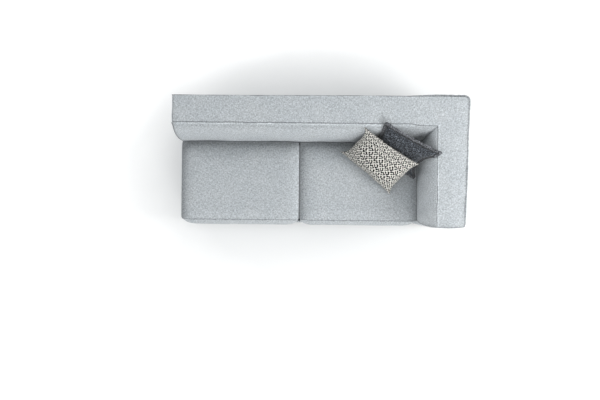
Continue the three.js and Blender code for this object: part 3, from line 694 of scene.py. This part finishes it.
def stuffed_cover(g, relief, shade):
    """Cover with its relief, its wandering seams, the dent of the cushion's press with a painted shadow round
    it, and the ears of its left end.
    """
    across, outward = g.directions()
    wander = 0.0017 * g.along(0.36, 3) + 0.0006 * g.along(0.12, 4)
    near_seam = fade(g.past_outer, 0.05) + 0.8 * fade(g.past_inner, 0.05)
    cover = g.points + outward * relief[..., None] + across * (wander * near_seam * g.ends)[..., None]
    swing = np.where(g.outer, 1 - smooth(g.below, 0, 0.5), np.clip(g.past_inner / -TOP_WIDTH, 0, 1))
    cover[..., 1] += 0.007 * swing * smooth(cover[..., 0], -0.9, 0.5) * smooth(cover[..., 1], 0.0, 0.3)
    # the press dents the cloth and paints a shadow round the cushion's corner
    press = bell(np.hypot(cover[..., 0] - PRESS[0], cover[..., 1] - PRESS[1]), 0.034) * ~g.outer
    cover[..., 2] = np.minimum(cover[..., 2], SEAM_TOP + 0.0085) - 0.006 * press
    ears = fade(g.past_outer, 0.008) + fade(g.past_inner, 0.009)
    cover[..., 0] -= 0.0115 * ears * fade(g.from_left, 0.009)
    return cover, np.where(shade < 0.3, shade + 0.55 * press, shade)


def end_panel(skin, g, edge, foot, plane, axis, flip=False):
    """Closes an open end between its outer, top and inner edges, on the end's own plane."""
    outer_edge, top_edge = edge[1 : g.top_start + 1], edge[g.top_start : g.inner_start + 1]
    inner_edge = edge[g.inner_start : -1][::-1]
    lows = np.linspace(FOOT_TOP, DECK_TOP - 0.002, len(outer_edge) - len(inner_edge))
    inner_side = np.concatenate([[(*foot, z) for z in lows], inner_edge])
    bottom = outer_edge[0] + (inner_side[0] - outer_edge[0]) * np.linspace(0, 1, len(top_edge))[:, None]
    bottom[1:-1, axis] = plane(bottom[1:-1])
    edges = (bottom, top_edge, outer_edge, inner_side)
    patch = coons(*edges)
    residue = coons(*[np.repeat((e[:, axis] - plane(e))[:, None], 3, 1) for e in edges])[..., 0]
    a = np.linspace(0, 1, patch.shape[1])[None]
    b = np.linspace(0, 1, patch.shape[0])[:, None]
    side = np.minimum(a, 1 - a)
    rim = np.minimum(side * 0.25, (1 - b) * 0.7)
    inside = np.minimum(smooth(side, 0, 0.22), smooth(1 - b, 0, 0.10))
    full = 0.004 * inside * np.clip(1 + 0.35 * waves(patch, 0.16, 71), 0.3, 1.7)
    level = plane(patch.reshape(-1, 3)).reshape(patch.shape[:2])
    patch[..., axis] = level + residue * fade(rim, 0.010) - full
    skin.grid(patch, joined(patch[..., 1 - axis], patch[..., 2]), 0.85 * bell(rim, 0.005), flip)


def back_and_arm_cover():
    """One sewn cover over the pads of the back and the arm."""
    g = CoverGrid()
    seam_height, seam_shade = seam_lines(g)
    relief = cover_relief(g, seam_height)
    cover, shade = stuffed_cover(g, relief, cover_shade(g, seam_shade))
    skin = Skin()
    uvs = (joined(g.run, g.heights), cover[..., :2], joined(g.seam_run, g.lengths))
    bounds = (0, g.top_start, g.inner_start, len(cover) - 1)
    for uv, first, last in zip(uvs, bounds, bounds[1:]):
        rows = slice(first, last + 1)
        skin.grid(cover[rows], uv[rows], shade[rows])
    back_foot, arm_foot = (-HALF_WIDTH, BACK_FRONT), (ARM_INNER + 0.0005, -0.4795)
    end_panel(skin, g, cover[:, 0], back_foot, lambda p: np.full(len(p), -HALF_WIDTH), 0)
    end_panel(skin, g, cover[:, -1], arm_foot, lambda p: front_y(p[:, 0]), 1, True)
    return skin.make("back_and_arm_cover", 2e-5)


body_cover = back_and_arm_cover()
body_cover.data.materials.append(sofa_cloth)
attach(body_cover, "frame")
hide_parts("back_cover", "arm_cover", "back_pad", "arm_pad", "arm_outer_wedge")


# Base covers
def base_path():
    """Plan of the base's front and left side, round their corner."""
    bend = np.linspace(0.2, pi / 2, 7)
    bend_x, bend_y = BASE_LEFT + BASE_ROUND * (1 - np.sin(bend)), BASE_FRONT + BASE_ROUND * (1 - np.cos(bend))
    path = [(BASE_RIGHT, BASE_FRONT + ease) for ease in (0.011, 0.004)] + [(BASE_RIGHT - 0.004, BASE_FRONT)]
    path += [(x, BASE_FRONT) for x in np.linspace(0.80, BASE_LEFT + BASE_ROUND, 130)]
    path += list(zip(bend_x, bend_y))
    path += [(BASE_LEFT, y) for y in np.linspace(BASE_FRONT + 0.03, BACK_FRONT + 0.03, 46)]
    return np.array(path)


def base_cover():
    """Padded band along the front and the left side under the cushions, hemmed below and above."""
    path = base_path()
    step = unit(np.gradient(path, axis=0))
    out = joined(-step[:, 1], step[:, 0])
    run = run_of(path)
    profile = [(-0.013, FOOT_TOP + 0.001), (-0.004, FOOT_TOP)]
    profile += [(0, z) for z in even_steps(FOOT_TOP + 0.004, DECK_TOP - 0.004, 0.016)]
    profile += [(-0.002, DECK_TOP - 0.0015), (-0.006, DECK_TOP - 0.0005), (-0.0115, DECK_TOP - 0.0005)]
    held = smooth(path[:, 1], BASE_FRONT + 0.02, BASE_FRONT + 0.08)
    grid = []
    for depth, z in profile:
        share = min(max((z - FOOT_TOP) / (DECK_TOP - FOOT_TOP), 0), 1)
        swell = 0.004 * sin(pi * share) ** 0.7
        ripple = 0.0011 * waves(joined(run, z), 0.14, 41)
        ripple += 0.0009 * waves(run[:, None], 0.045, 42) * (fade(share, 0.12) + fade(1 - share, 0.12))
        padding = (swell + ripple * (depth == 0)) * (1 - 0.6 * held) - 0.0028 * held
        grid.append(joined(*(path + out * (depth + padding)[:, None]).T, z))
    grid = np.array(grid)
    band = Skin()
    band.grid(grid, joined(run, grid[..., 2]))
    return band.make("base_cover")


base = base_cover()
base.data.materials.append(sofa_cloth)
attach(base, "frame")
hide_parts("base_front_cover", "base_side_cover")


# Seat cushions
class Seat:
    """Shape of a boxed cushion: crowned top, flat base and swollen boxing, sewn at top and bottom."""

    def __init__(self, left, right, left_bulge, right_painted_shade):
        self.left, self.right, self.left_bulge, self.right_painted_shade = left, right, left_bulge, right_painted_shade
        step, beside = 0.019, 0.0032
        self.xs = even_steps(left, right, step, (left, right), beside)
        self.ys = even_steps(SEAT_FRONT, SEAT_REAR, step, (SEAT_FRONT, SEAT_REAR), beside)
        self.zs = even_steps(SEAT_BOTTOM, SEAT_TOP, step, (SEAT_BOTTOM, SEAT_TOP), beside)
        self.width, self.depth = right - left, SEAT_REAR - SEAT_FRONT

    def shares(self, x, y):
        """Place in the plan, from -1 to 1 both ways."""
        a = (x - (self.left + self.right) / 2) / (self.width / 2)
        return a, (y - (SEAT_FRONT + SEAT_REAR) / 2) / (self.depth / 2)

    def plan(self, x, y):
        """Rounds the four corners of the plan."""
        a, b = self.shares(x, y)
        corner = np.abs(b) ** 50
        pull_x, pull_y = 0.0045 * np.abs(a) ** 50 * corner, 0.0065 * np.abs(a) ** 34 * corner
        return x - np.sign(a) * pull_x, y - np.sign(b) * pull_y

    def gaps(self, x, y):
        """Distances from the front, rear, left and right side."""
        return y - SEAT_FRONT, SEAT_REAR - y, x - self.left, self.right - x

    def crown(self, x, y):
        """Height of the top panel: level in the middle, rolled off towards the four seams."""
        rest = 1.0
        for gap, drop, reach in zip(self.gaps(x, y), (0.35, 0.95, 0.85, 0.85), (0.030, 0.055, 0.045, 0.045)):
            rest = rest * (1 - drop * near(gap, reach, 1.3))
        return SEAT_TOP - 0.023 + 0.039 * rest

    def add_panels(self, skin):
        """Top and base. The top has painted shade a little all over and more along the rear and left edges
        and, where its share is positive, the right edge; a negative right share paints a highlight there
        instead, a faint painted highlight lies by the front, and a dark line runs along the front seam. Shade
        1 marks the sewn edge.
        """
        x, y = np.meshgrid(self.xs, self.ys)
        a, b = self.shares(x, y)
        gap_x, gap_y = [(1 - np.clip(np.abs(c), 0, 1)) * d / 2 for c, d in ((a, self.width), (b, self.depth))]
        _, dark = seam_relief(np.minimum(gap_x, gap_y))
        front, rear, left, right = self.gaps(x, y)
        # painted shade: a little all over, more by the back and the left side, and by the right side for a
        # positive share; negative shares and the front term paint highlights
        painted_shade = 0.10 + 1.15 * near(rear, 0.052) + 0.84 * near(left, 0.044)
        painted_shade += self.right_painted_shade * near(right, 0.045) - 0.03 * near(front, 0.05)
        shade = np.clip(0.4 * dark + painted_shade + 0.5 * bell(front, 0.0045), -0.6, 0.98)
        plan, uv = self.plan(x, y), joined(x, y)
        skin.grid(joined(*plan, self.crown(x, y)), uv, np.where(dark > 0.99, 1.0, shade))
        skin.grid(joined(*plan, SEAT_BOTTOM), uv, 0.5 * dark, True)

    def ring(self):
        """Plan of the boxing, once round, with its way out and its swell at each point."""
        xs, ys = self.xs, self.ys
        ring = [(x, SEAT_FRONT) for x in xs] + [(self.right, y) for y in ys[1:]]
        ring += [(x, SEAT_REAR) for x in xs[::-1][1:]] + [(self.left, y) for y in ys[::-1][1:]]
        ring = np.array(ring)
        a = np.clip((ring[:, 0] - self.left) / self.width, 0, 1) * 2 - 1
        b = np.clip((ring[:, 1] - SEAT_FRONT) / self.depth, 0, 1) * 2 - 1
        on_front, on_rear = np.isclose(ring[:, 1], SEAT_FRONT), np.isclose(ring[:, 1], SEAT_REAR)
        on_left = np.isclose(ring[:, 0], self.left) & ~on_front & ~on_rear
        out, swell = np.zeros_like(ring), np.zeros(len(ring))
        out[on_front], out[on_left] = (0, -1), (-1, 0)
        swell[on_front] = 0.043 * (1 - np.abs(a[on_front]) ** 13) ** 0.9
        swell[on_left] = self.left_bulge * (1 - np.abs(b[on_left]) ** 9)
        return ring, out * swell[:, None], on_front

    def add_boxing(self, skin):
        """Side walls, swollen at the front and the left, with painted shade over the front wall."""
        ring, swell, on_front = self.ring()
        plan, crown = joined(*self.plan(*ring.T)), self.crown(*ring.T)
        walls = []
        for z in self.zs:
            share = (z - SEAT_BOTTOM) / (SEAT_TOP - SEAT_BOTTOM)
            full = sin(pi * share) ** 0.8 if 0 < share < 1 else 0.0
            walls.append(joined(*(plan + swell * full).T, SEAT_BOTTOM + (crown - SEAT_BOTTOM) * share))
        walls, run = np.array(walls), run_of(ring)
        _, dark = seam_relief(np.minimum(self.zs - SEAT_BOTTOM, SEAT_TOP - self.zs)[:, None] + 0 * run[None])
        # painted shade over the front wall, beside the dark seam lines
        shade = np.where(dark > 0.99, 1.0, np.maximum(0.55 * dark, 0.14 * on_front[None]))
        skin.grid(walls, joined(run, walls[..., 2]), shade)

    def keep_clear(self, points):
        """Keeps the swollen cloth off the neighbours, the back and the deck."""
        left_room = self.left_bulge + 0.004 if self.left_bulge else 0.0008
        points[:, 0] = np.clip(points[:, 0], self.left - left_room, self.right + 0.0008)
        points[:, 1] = np.minimum(points[:, 1], SEAT_REAR + 0.0015)
        points[:, 2] = np.clip(points[:, 2], SEAT_BOTTOM, SEAT_TOP + 0.0175)
        return points


def fine_relief(seat, co, gap, on_top, seed):
    """Height of the cloth that the simulation is too coarse for: seams, puckers and slow waves."""
    x, y, z = co.T
    level = seat.crown(np.clip(x, seat.left, seat.right), np.clip(y, SEAT_FRONT, SEAT_REAR))
    distance = np.where(on_top, np.abs(gap), np.minimum(np.abs(z - SEAT_BOTTOM), np.abs(level - z)))
    height, _ = seam_relief(distance)
    pucker = 0.0010 * waves(co, 0.046, seed + 1) * fade(distance, 0.022) * (1 - bell(distance, 0.004))
    slow = 0.0017 * waves(co, 0.22, seed + 2) + 0.0006 * waves(co, 0.09, seed + 3)
    return height + pucker + np.where(on_top, slow, 0.6 * slow) * smooth(distance, 0, 0.05)


def seat_cushion(name, seat, seed):
    """Sews the seat's panels, swells them and lays the fine relief of the cloth over them."""
    skin = Skin()
    seat.add_panels(skin)
    seat.add_boxing(skin)
    obj = skin.make(name)
    co = points_of(obj)
    on_seam = np.array([d.value for d in obj.data.attributes["seam"].data]) > 0.99
    flat_base = co[:, 2] < SEAT_BOTTOM + 1e-5
    gap = np.minimum.reduce(seat.gaps(co[:, 0], co[:, 1]))
    on_top = (gap > -1e-5) & (co[:, 2] > (SEAT_BOTTOM + SEAT_TOP) / 2) & ~((gap < 1e-5) & ~on_seam)
    loose = np.where(on_top, fade(gap, 0.045), 0.55) * (0.75 + 0.25 * waves(co, 0.2, seed))
    pins = np.where(on_seam | flat_base, 1.0, 0.0)
    swollen = cloth(obj, 2.2, 18, 22, 0.25, pins, np.clip(loose, 0, 1), growth=0.035, cap=0.007)
    relief = np.where(flat_base, 0, fine_relief(seat, co, gap, on_top, seed))
    normals = np.array([v.normal for v in obj.data.vertices])
    set_points(obj, seat.keep_clear(swollen + normals * relief[:, None]))
    subdivide(obj)
    return obj


seat_joint = BASE_LEFT + SEAT_WIDTH
# right shares: painted highlight by the left seat's right edge, painted shade by the right seat's edge at the
# arm
left_seat = Seat(BASE_LEFT - 0.0025, seat_joint, left_bulge=0.005, right_painted_shade=-0.28)
right_seat = Seat(seat_joint + SEAT_GAP, ARM_INNER - SEAT_GAP, left_bulge=0.0, right_painted_shade=0.5)
seats = {
    "seat_left": seat_cushion("seat_left_cushion", left_seat, 101),
    "seat_right": seat_cushion("seat_right_cushion", right_seat, 131),
}
for body, obj in seats.items():
    obj.data.materials.append(sofa_cloth)
    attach(obj, body)
    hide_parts(f"{body}_cover", f"{body}_core")


# Scatter cushions
GREY_POSE = {
    "centre": (0.621, 0.076, 0.6276), "heading": radians(-27), "lean": radians(61),
    "left_draw": 0.020, "right_draw": 0.076, "long_draw": 0.010, "ear": 3.0, "flop": radians(50),
}
PATTERNED_POSE = {
    "centre": (0.465, 0.006, 0.5986), "heading": radians(-34), "lean": radians(52),
    "left_draw": 0.055, "right_draw": 0.034, "long_draw": 0.020, "ear": 5.0, "flop": 0.0,
}
# Where each corner lies, by its sides along the length and the width
GREY_MARKS = {
    (-1, 1): (0.499, 0.323, 0.794), (1, 1): (0.958, 0.079, 0.792),
    (1, -1): (0.791, -0.127, 0.464), (-1, -1): (0.360, 0.100, 0.464),
}
PATTERNED_MARKS = {
    (-1, 1): (0.331, 0.281, 0.784), (1, 1): (0.777, -0.013, 0.772),
    (1, -1): (0.589, -0.252, 0.464), (-1, -1): (0.156, 0.111, 0.484),
}


def cut_panels(name, length, width, flange):
    """Two flat panels sewn together round the edge, with the place of each point, -1 to 1 both ways. Their
    sewn edges are dark, with a painted highlight along the right end of a flanged cushion and painted shade
    over the lower-left half of a plain one.
    """
    p, q = np.meshgrid(np.linspace(-1, 1, 51), np.linspace(-1, 1, 41))
    x, y = p * length / 2 * CUT_LONG_SHARE, q * width / 2 * CUT_WIDE_SHARE
    start = 0.006 * (1 - p**4) * (1 - q**4)
    shade = bell(np.minimum((1 - np.abs(p)) * length / 2, (1 - np.abs(q)) * width / 2), 0.004)
    if flange:
        # painted highlight along the sewn edge at the right end
        shade = np.where((p > 0.99) & (np.abs(q) < 0.9), -3.0, shade)
    else:
        # painted shade over the lower-left half
        shade = np.maximum(shade, 0.30 * smooth(-p - q, -0.4, 1.2))
    panels = Skin()
    panels.grid(joined(x, y, start), joined(x, y), shade)
    panels.grid(joined(x, y, -start), joined(x, y) + 1.7, shade, True)
    obj = panels.make(name)
    rest = points_of(obj)
    P = np.clip(rest[:, 0] / (length / 2 * CUT_LONG_SHARE), -1, 1)
    return obj, P, np.clip(rest[:, 1] / (width / 2 * CUT_WIDE_SHARE), -1, 1)


def blow_up(obj, thickness):
    """Fills the sewn panels by simulation."""
    blown = cloth(obj, 5.5, 28, 25, 0.15)
    blown -= (blown.max(0) + blown.min(0)) / 2
    blown[:, 2] *= thickness / (blown[:, 2].max() - blown[:, 2].min())
    return blown


def outline(P, Q, length, width, pose):
    """Sewn edge of the filled cushion: sides drawn in between the corners, which stay out as ears."""
    draw = np.where(P > 0, pose["right_draw"], pose["left_draw"])
    x = P * length / 2 - np.sign(P) * draw * (1 - np.abs(Q) ** pose["ear"]) * np.abs(P) ** 8
    y = Q * width / 2 - np.sign(Q) * pose["long_draw"] * (1 - np.abs(P) ** pose["ear"]) * np.abs(Q) ** 8
    return joined(x, y)


def edge_shift(gap, on_edge, P, Q):
    """Moves the edges by their gaps and shares the move over the panels."""
    at = {(round(P[i], 4), round(Q[i], 4)): i for i in np.flatnonzero(on_edge)}
    grid_p, grid_q = sorted({p for p, _ in at}), sorted({q for _, q in at})
    south, north = [np.array([gap[at[(p, q)]] for p in grid_p]) for q in (grid_q[0], grid_q[-1])]
    west, east = [np.array([gap[at[(p, q)]] for q in grid_q]) for p in (grid_p[0], grid_p[-1])]

    def look(table, axis, place):
        return joined(*[np.interp(place, axis, side) for side in table.T])

    u, v = (P[:, None] + 1) / 2, (Q[:, None] + 1) / 2
    shift = look(south, grid_p, P) * (1 - v) + look(north, grid_p, P) * v
    shift += look(west, grid_q, Q) * (1 - u) + look(east, grid_q, Q) * u
    shift -= south[0] * (1 - u) * (1 - v) + south[-1] * u * (1 - v)
    return shift - (north[0] * (1 - u) * v + north[-1] * u * v)


def scatter_cushion(name, size, pose, marks, seed, flange=0.0, other=None):
    """Two cloth panels sewn round the edge, blown up and laid on the pose with the corners on the marks."""
    length, width, thickness = size
    bare_length, bare_width = length - 2 * flange, width - 2 * flange
    obj, P, Q = cut_panels(name, bare_length, bare_width, flange)
    rest = points_of(obj)
    side = np.sign(np.where(np.abs(rest[:, 2]) > 1e-6, rest[:, 2], 0))
    on_edge = side == 0
    blown = blow_up(obj, thickness)
    blown[:, :2] += edge_shift(outline(P, Q, bare_length, bare_width, pose) - blown[:, :2], on_edge, P, Q)
    gap = np.minimum((1 - np.abs(P)) * length, (1 - np.abs(Q)) * width)
    blown[:, 2] += 0.0012 * waves(rest, 0.05, seed) * fade(gap, 0.05) * ~on_edge
    set_points(obj, blown)
    if flange:
        add_flange(obj, on_edge, P, Q, flange, seed)
    lay(obj, size, pose, marks, other)
    subdivide(obj)
    return obj


def ways_out(points, P, Q):
    """Directions in which the flange leaves the sewn edge at each point of the rim."""
    outs = []
    for before, after, p, q in zip(points[-1:] + points[:-1], points[1:] + points[:1], P, Q):
        d = after - before
        if abs(p) > 0.999 and abs(q) > 0.999:
            outs.append(Vector((copysign(1, p), copysign(1, q), 0)) * 1.2)
        else:
            outs.append(Vector((d.y, -d.x, 0)).normalized())
    return outs


def add_flange(obj, on_edge, P, Q, flange, seed):
    """Flat double hem round the sewn edge, with a dark line at the stitches, partly stitching and partly
    painted shadow between hem and body, and painted shade over the hem at both ends, deepest at the right
    end.
    """
    bm = bmesh.new()
    bm.from_mesh(obj.data)
    bm.verts.ensure_lookup_table()
    shade = bm.verts.layers.float["seam"]
    rim = sorted(np.flatnonzero(on_edge).tolist(), key=lambda i: atan2(Q[i], P[i]))
    sewn = [bm.verts[i] for i in rim]
    points = [v.co.copy() for v in sewn]
    outs = ways_out(points, P[rim], Q[rim])
    steps = [(b - a).length for a, b in zip(points, points[1:])]
    wave = 0.0022 * waves(np.cumsum([0.0] + steps)[:, None], 0.07, seed + 5)
    # painted shade over the hem at the left end, deeper at the right end
    painted_hem_shade = np.where(P[rim] < -0.999, 0.45, 0.0)
    painted_hem_shade[(P[rim] > 0.999) & (Q[rim] < 0.85)] = 0.95
    stitches = 0.2

    def ring(share, height):
        made = []
        for point, out, lift, dark in zip(points, outs, wave, painted_hem_shade):
            vert = bm.verts.new(point + out * flange * share + Vector((0, 0, height + lift * share)))
            vert[shade] = max(dark, 0.85 if share == stitches else 0.0)
            made.append(vert)
        return made

    above, below = [sewn], [sewn]
    for share, half in ((stitches, 0.0013), (0.3, 0.0016), (0.7, 0.0017), (1.0, 0.0012)):
        above.append(ring(share, half))
        below.append(ring(share, -half))
    hem_line = ring(1.03, 0.0)
    add_rings(bm, [*above, hem_line], True)
    add_rings(bm, [*below, hem_line], False)
    bmesh.ops.recalc_face_normals(bm, faces=bm.faces)
    bm.to_mesh(obj.data)
    bm.free()


def add_rings(bm, rings, turned):
    """Faces of the hem between rings of points, in the cushion's second material."""
    uv = bm.loops.layers.uv["UVMap"]
    for inner, outer in zip(rings, rings[1:]):
        for k in range(len(inner)):
            n = (k + 1) % len(inner)
            quad = [inner[k], inner[n], outer[n], outer[k]]
            if turned:
                quad.reverse()
            face = bm.faces.new(quad)
            face.smooth = True
            face.material_index = 1
            for loop in face.loops:
                loop[uv].uv = (loop.vert.co.x, loop.vert.co.y)


def clear_of_unit(points):
    """Pushes points out of the rounded faces and tops of the back and the arm, and off the seat."""
    margin = 0.009
    for axis, seam, reach in ((1, BACK_SEAM, BACK_REACH), (0, ARM_SEAM, ARM_REACH)):
        wide, tall = reach + margin, SEAM_TOP + margin - SEAT_TOP
        out = (seam - points[:, axis]) / wide
        up = (points[:, 2] - SEAT_TOP) / tall
        ring = np.hypot(np.maximum(out, 0), np.maximum(up, 0))
        face = (out > 0) & (up > 0) & (ring < 1)
        scale = np.where(face, 1 / np.maximum(ring, 0.2), 1)
        points[:, axis] = np.where(face, seam - out * scale * wide, points[:, axis])
        points[:, 2] = np.where(face, SEAT_TOP + up * scale * tall, points[:, 2])
        points[:, 2] = np.where((out <= 0) & (up < 1), SEAT_TOP + tall, points[:, 2])
        points[:, axis] = np.where((up <= 0) & (out < 1), seam - wide, points[:, axis])
    points[:, 2] = np.maximum(points[:, 2], SEAT_TOP + 0.0195)
    return points


def clear_in_front(points, other, front, gap=0.002):
    """Pushes points forwards until they lie in front of another cushion, the push spread smoothly around."""
    mesh = other.data
    tree = BVHTree.FromPolygons([v.co for v in mesh.vertices], [p.vertices for p in mesh.polygons])
    start, farthest = 0.3, 0.12
    push = np.zeros(len(points))
    for i, point in enumerate(points):
        hit, _, _, distance = tree.ray_cast(Vector(point + front * start), Vector(-front), 2 * start)
        if hit is not None:
            push[i] = max(0.0, start - distance + gap)
    push = np.where(push > farthest, 0, push)
    deep = np.flatnonzero(push > 0)
    if len(deep) == 0:
        return points
    spread = np.zeros(len(points))
    for chunk in np.array_split(np.arange(len(points)), 12):
        apart = np.linalg.norm(points[chunk, None] - points[None, deep], axis=2)
        spread[chunk] = (push[deep] * bell(apart, 0.05)).max(1)
    return points + front * spread[:, None]


def flopped(co, width, flop):
    """Bends the upper part back along its width by an angle."""
    reach = np.linspace(0, 0.3, 301)
    angle = flop * smooth(reach, width / 2 - 0.085, width / 2 - 0.012)
    run = np.concatenate([[0], np.cumsum(np.cos(angle[1:]) * np.diff(reach))])
    drop = np.concatenate([[0], np.cumsum(np.sin(angle[1:]) * np.diff(reach))])
    y, depth = co[:, 1], co[:, 2]
    bent = np.interp(y, reach, angle)
    bent_y = np.interp(y, reach, run) + depth * np.sin(bent)
    bent_depth = depth * np.cos(bent) - np.interp(y, reach, drop)
    upper = (y > 0)[:, None]
    return np.where(upper, joined(co[:, 0], bent_y, bent_depth), co)


def lay(obj, size, pose, marks, other):
    """Lays the cushion on its pose, bends it so that its corners reach their marks, and keeps it clear."""
    length, width, _ = size
    turn = Euler((pose["lean"], 0, pose["heading"]), "XYZ").to_matrix().to_4x4()
    m = np.array(Matrix.Translation(Vector(pose["centre"])) @ turn)
    co = points_of(obj)
    P = np.clip(co[:, 0] / (length / 2), -1.05, 1.05)
    Q = np.clip(co[:, 1] / (width / 2), -1.05, 1.05)
    if pose["flop"]:
        co = flopped(co, width, pose["flop"])
    laid = co @ m[:3, :3].T + m[:3, 3]
    for (p, q), mark in marks.items():
        tip = int(np.argmax(p * P / 1.05 + q * Q / 1.05))
        share = np.clip((1 + p * P) / 2, 0, 1) * np.clip((1 + q * Q) / 2, 0, 1)
        laid += share[:, None] * (np.array(mark) - laid[tip])[None]
    front = m[:3, 2]
    for _ in range(3):
        laid = clear_of_unit(laid)
        if other is not None:
            laid = clear_in_front(laid, other, front)
    set_points(obj, clear_of_unit(laid))


grey = scatter_cushion("grey_cushion", GREY_SIZE, GREY_POSE, GREY_MARKS, 201, GREY_FLANGE)
patterned = scatter_cushion(
    "patterned_cushion", PATTERNED_SIZE, PATTERNED_POSE, PATTERNED_MARKS, 231, other=grey
)
grey.data.materials.append(charcoal_cloth)
grey.data.materials.append(charcoal_hem)
patterned.data.materials.append(fret_cloth)
scatter = {"grey_cushion": (grey, "charcoal_cloth"), "patterned_cushion": (patterned, "patterned_cloth")}
for body, (obj, slot) in scatter.items():
    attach(obj, body)
    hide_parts(f"{body}_cover", f"{body}_fill")


# Feet
def foot(name):
    """Round foot that widens upwards from its glide."""
    low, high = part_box(name)
    centre = (low + high) / 2
    neck, top, shaft_start = 0.024, 0.032, 0.0065
    glide = [(0.0, 0.0), (0.0185, 0.0), (0.020, 0.0015), (0.020, 0.005), (0.0228, 0.0052)]
    shaft = [(neck, shaft_start)]
    shaft += [(neck + (top - neck) * t, shaft_start + 0.0375 * t) for t in np.linspace(0.1, 1, 8)]
    profile = np.array([*glide, *shaft, (0.0315, FOOT_TOP), (0.0, FOOT_TOP)])
    turns = np.linspace(0, 2 * pi, 49)
    r, z = profile.T[..., None]
    skin = Skin()
    skin.grid(joined(centre.x + r * np.cos(turns), centre.y + r * np.sin(turns), z), joined(turns * 0.03, z))
    return skin.make(name.replace("foot_", "glide_foot_"))


for name in [n for n in nodes if n.startswith("foot_")]:
    obj = foot(name)
    obj.data.materials.append(plastic)
    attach(obj, "frame")
    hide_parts(name)


# Floor, light and camera
def floor_material():
    """Pale floor that keeps the shadows, with a painted glow, seen only by camera, glossy and transmission
    rays, that brightens it to white away from the unit.
    """
    s = Shader("floor", 0.8, specular=0.2)
    place = s.place("Object")
    x, y, _ = s.split(place)
    across, along = (x - 0.30) / 1.9, (y + 0.2) / 1.15
    away = s.math("SQRT", s.math("POWER", across, 2.0) + s.math("POWER", along, 2.0))
    share = (away + s.noise(place, 2.0, 3.0, 0.6) * 0.12) * 0.5
    levels = ((0.22, 0.0), (0.40, 0.035), (0.56, 0.17), (0.70, 0.5), (0.86, 1.0))
    glow = s.ramp(share, [(at, (level,) * 3) for at, level in levels])
    made = s.finish((0.83, 0.83, 0.822, 1.0), s.noise(place, 600.0, 2.0), 0.0005, 0.1)
    path = s.node("ShaderNodeLightPath")
    seen, glossy, through = [s.out(path, f"Is {kind} Ray") for kind in ("Camera", "Glossy", "Transmission")]
    seen = s.math("MAXIMUM", seen, s.math("MAXIMUM", glossy, through))
    # painted glow, with no lamp behind it
    light = s.node("ShaderNodeEmission", {"Color": (1, 1, 1, 1), "Strength": glow * seen})
    both = s.node("ShaderNodeAddShader", {0: s.out(s.main), 1: s.out(light)})
    s.link(s.out(both), s.tree.nodes["Material Output"].inputs["Surface"])
    return made


def floor_sheet(reach=14.0):
    """Flat square sheet, wide enough to end out of sight."""
    steps = np.linspace(-reach, reach, 9)
    x, y = np.meshgrid(steps, steps)
    skin = Skin()
    skin.grid(joined(x, y, 0.0), joined(x, y))
    return skin.make("floor")


ground = floor_sheet()
ground.data.materials.append(floor_material())

world = bpy.data.worlds.new("studio")
world.use_nodes = True
scene.world = world
sky = world.node_tree.nodes["Background"].inputs
sky["Color"].default_value = (0.96, 0.98, 1.0, 1)
sky["Strength"].default_value = 0.76


def lamp(name, at, target, power, size):
    """Round area lamp that looks at a target."""
    data = bpy.data.lights.new(name, "AREA")
    data.energy, data.shape, data.size = power, "DISK", size
    obj = bpy.data.objects.new(name, data)
    obj.location = at
    obj.rotation_euler = (Vector(target) - Vector(at)).to_track_quat("-Z", "Y").to_euler()
    scene.collection.objects.link(obj)


SEAT_MIDDLE, ARM_SIDE = (0, 0, 0.4), (0.9, 0, 0.5)
lamp("right", (3.2, -0.6, 2.4), SEAT_MIDDLE, 66, 1.6)
lamp("front", (0.2, -3.4, 1.9), SEAT_MIDDLE, 36, 1.6)
lamp("left", (-3.0, -1.0, 1.7), ARM_SIDE, 13, 1.6)
lamp("rear", (0.3, 2.8, 3.4), SEAT_MIDDLE, 25, 1.8)

camera = bpy.data.objects.new("camera", bpy.data.cameras.new("camera"))
camera.data.sensor_width = 36
camera.data.lens = 35.04
camera.data.clip_end = 60
camera.location = (-0.155, -0.299, 5.3)
camera.rotation_euler = (0, 0, radians(0.6))
scene.collection.objects.link(camera)
scene.camera = camera
scene.view_settings.view_transform = "Standard"
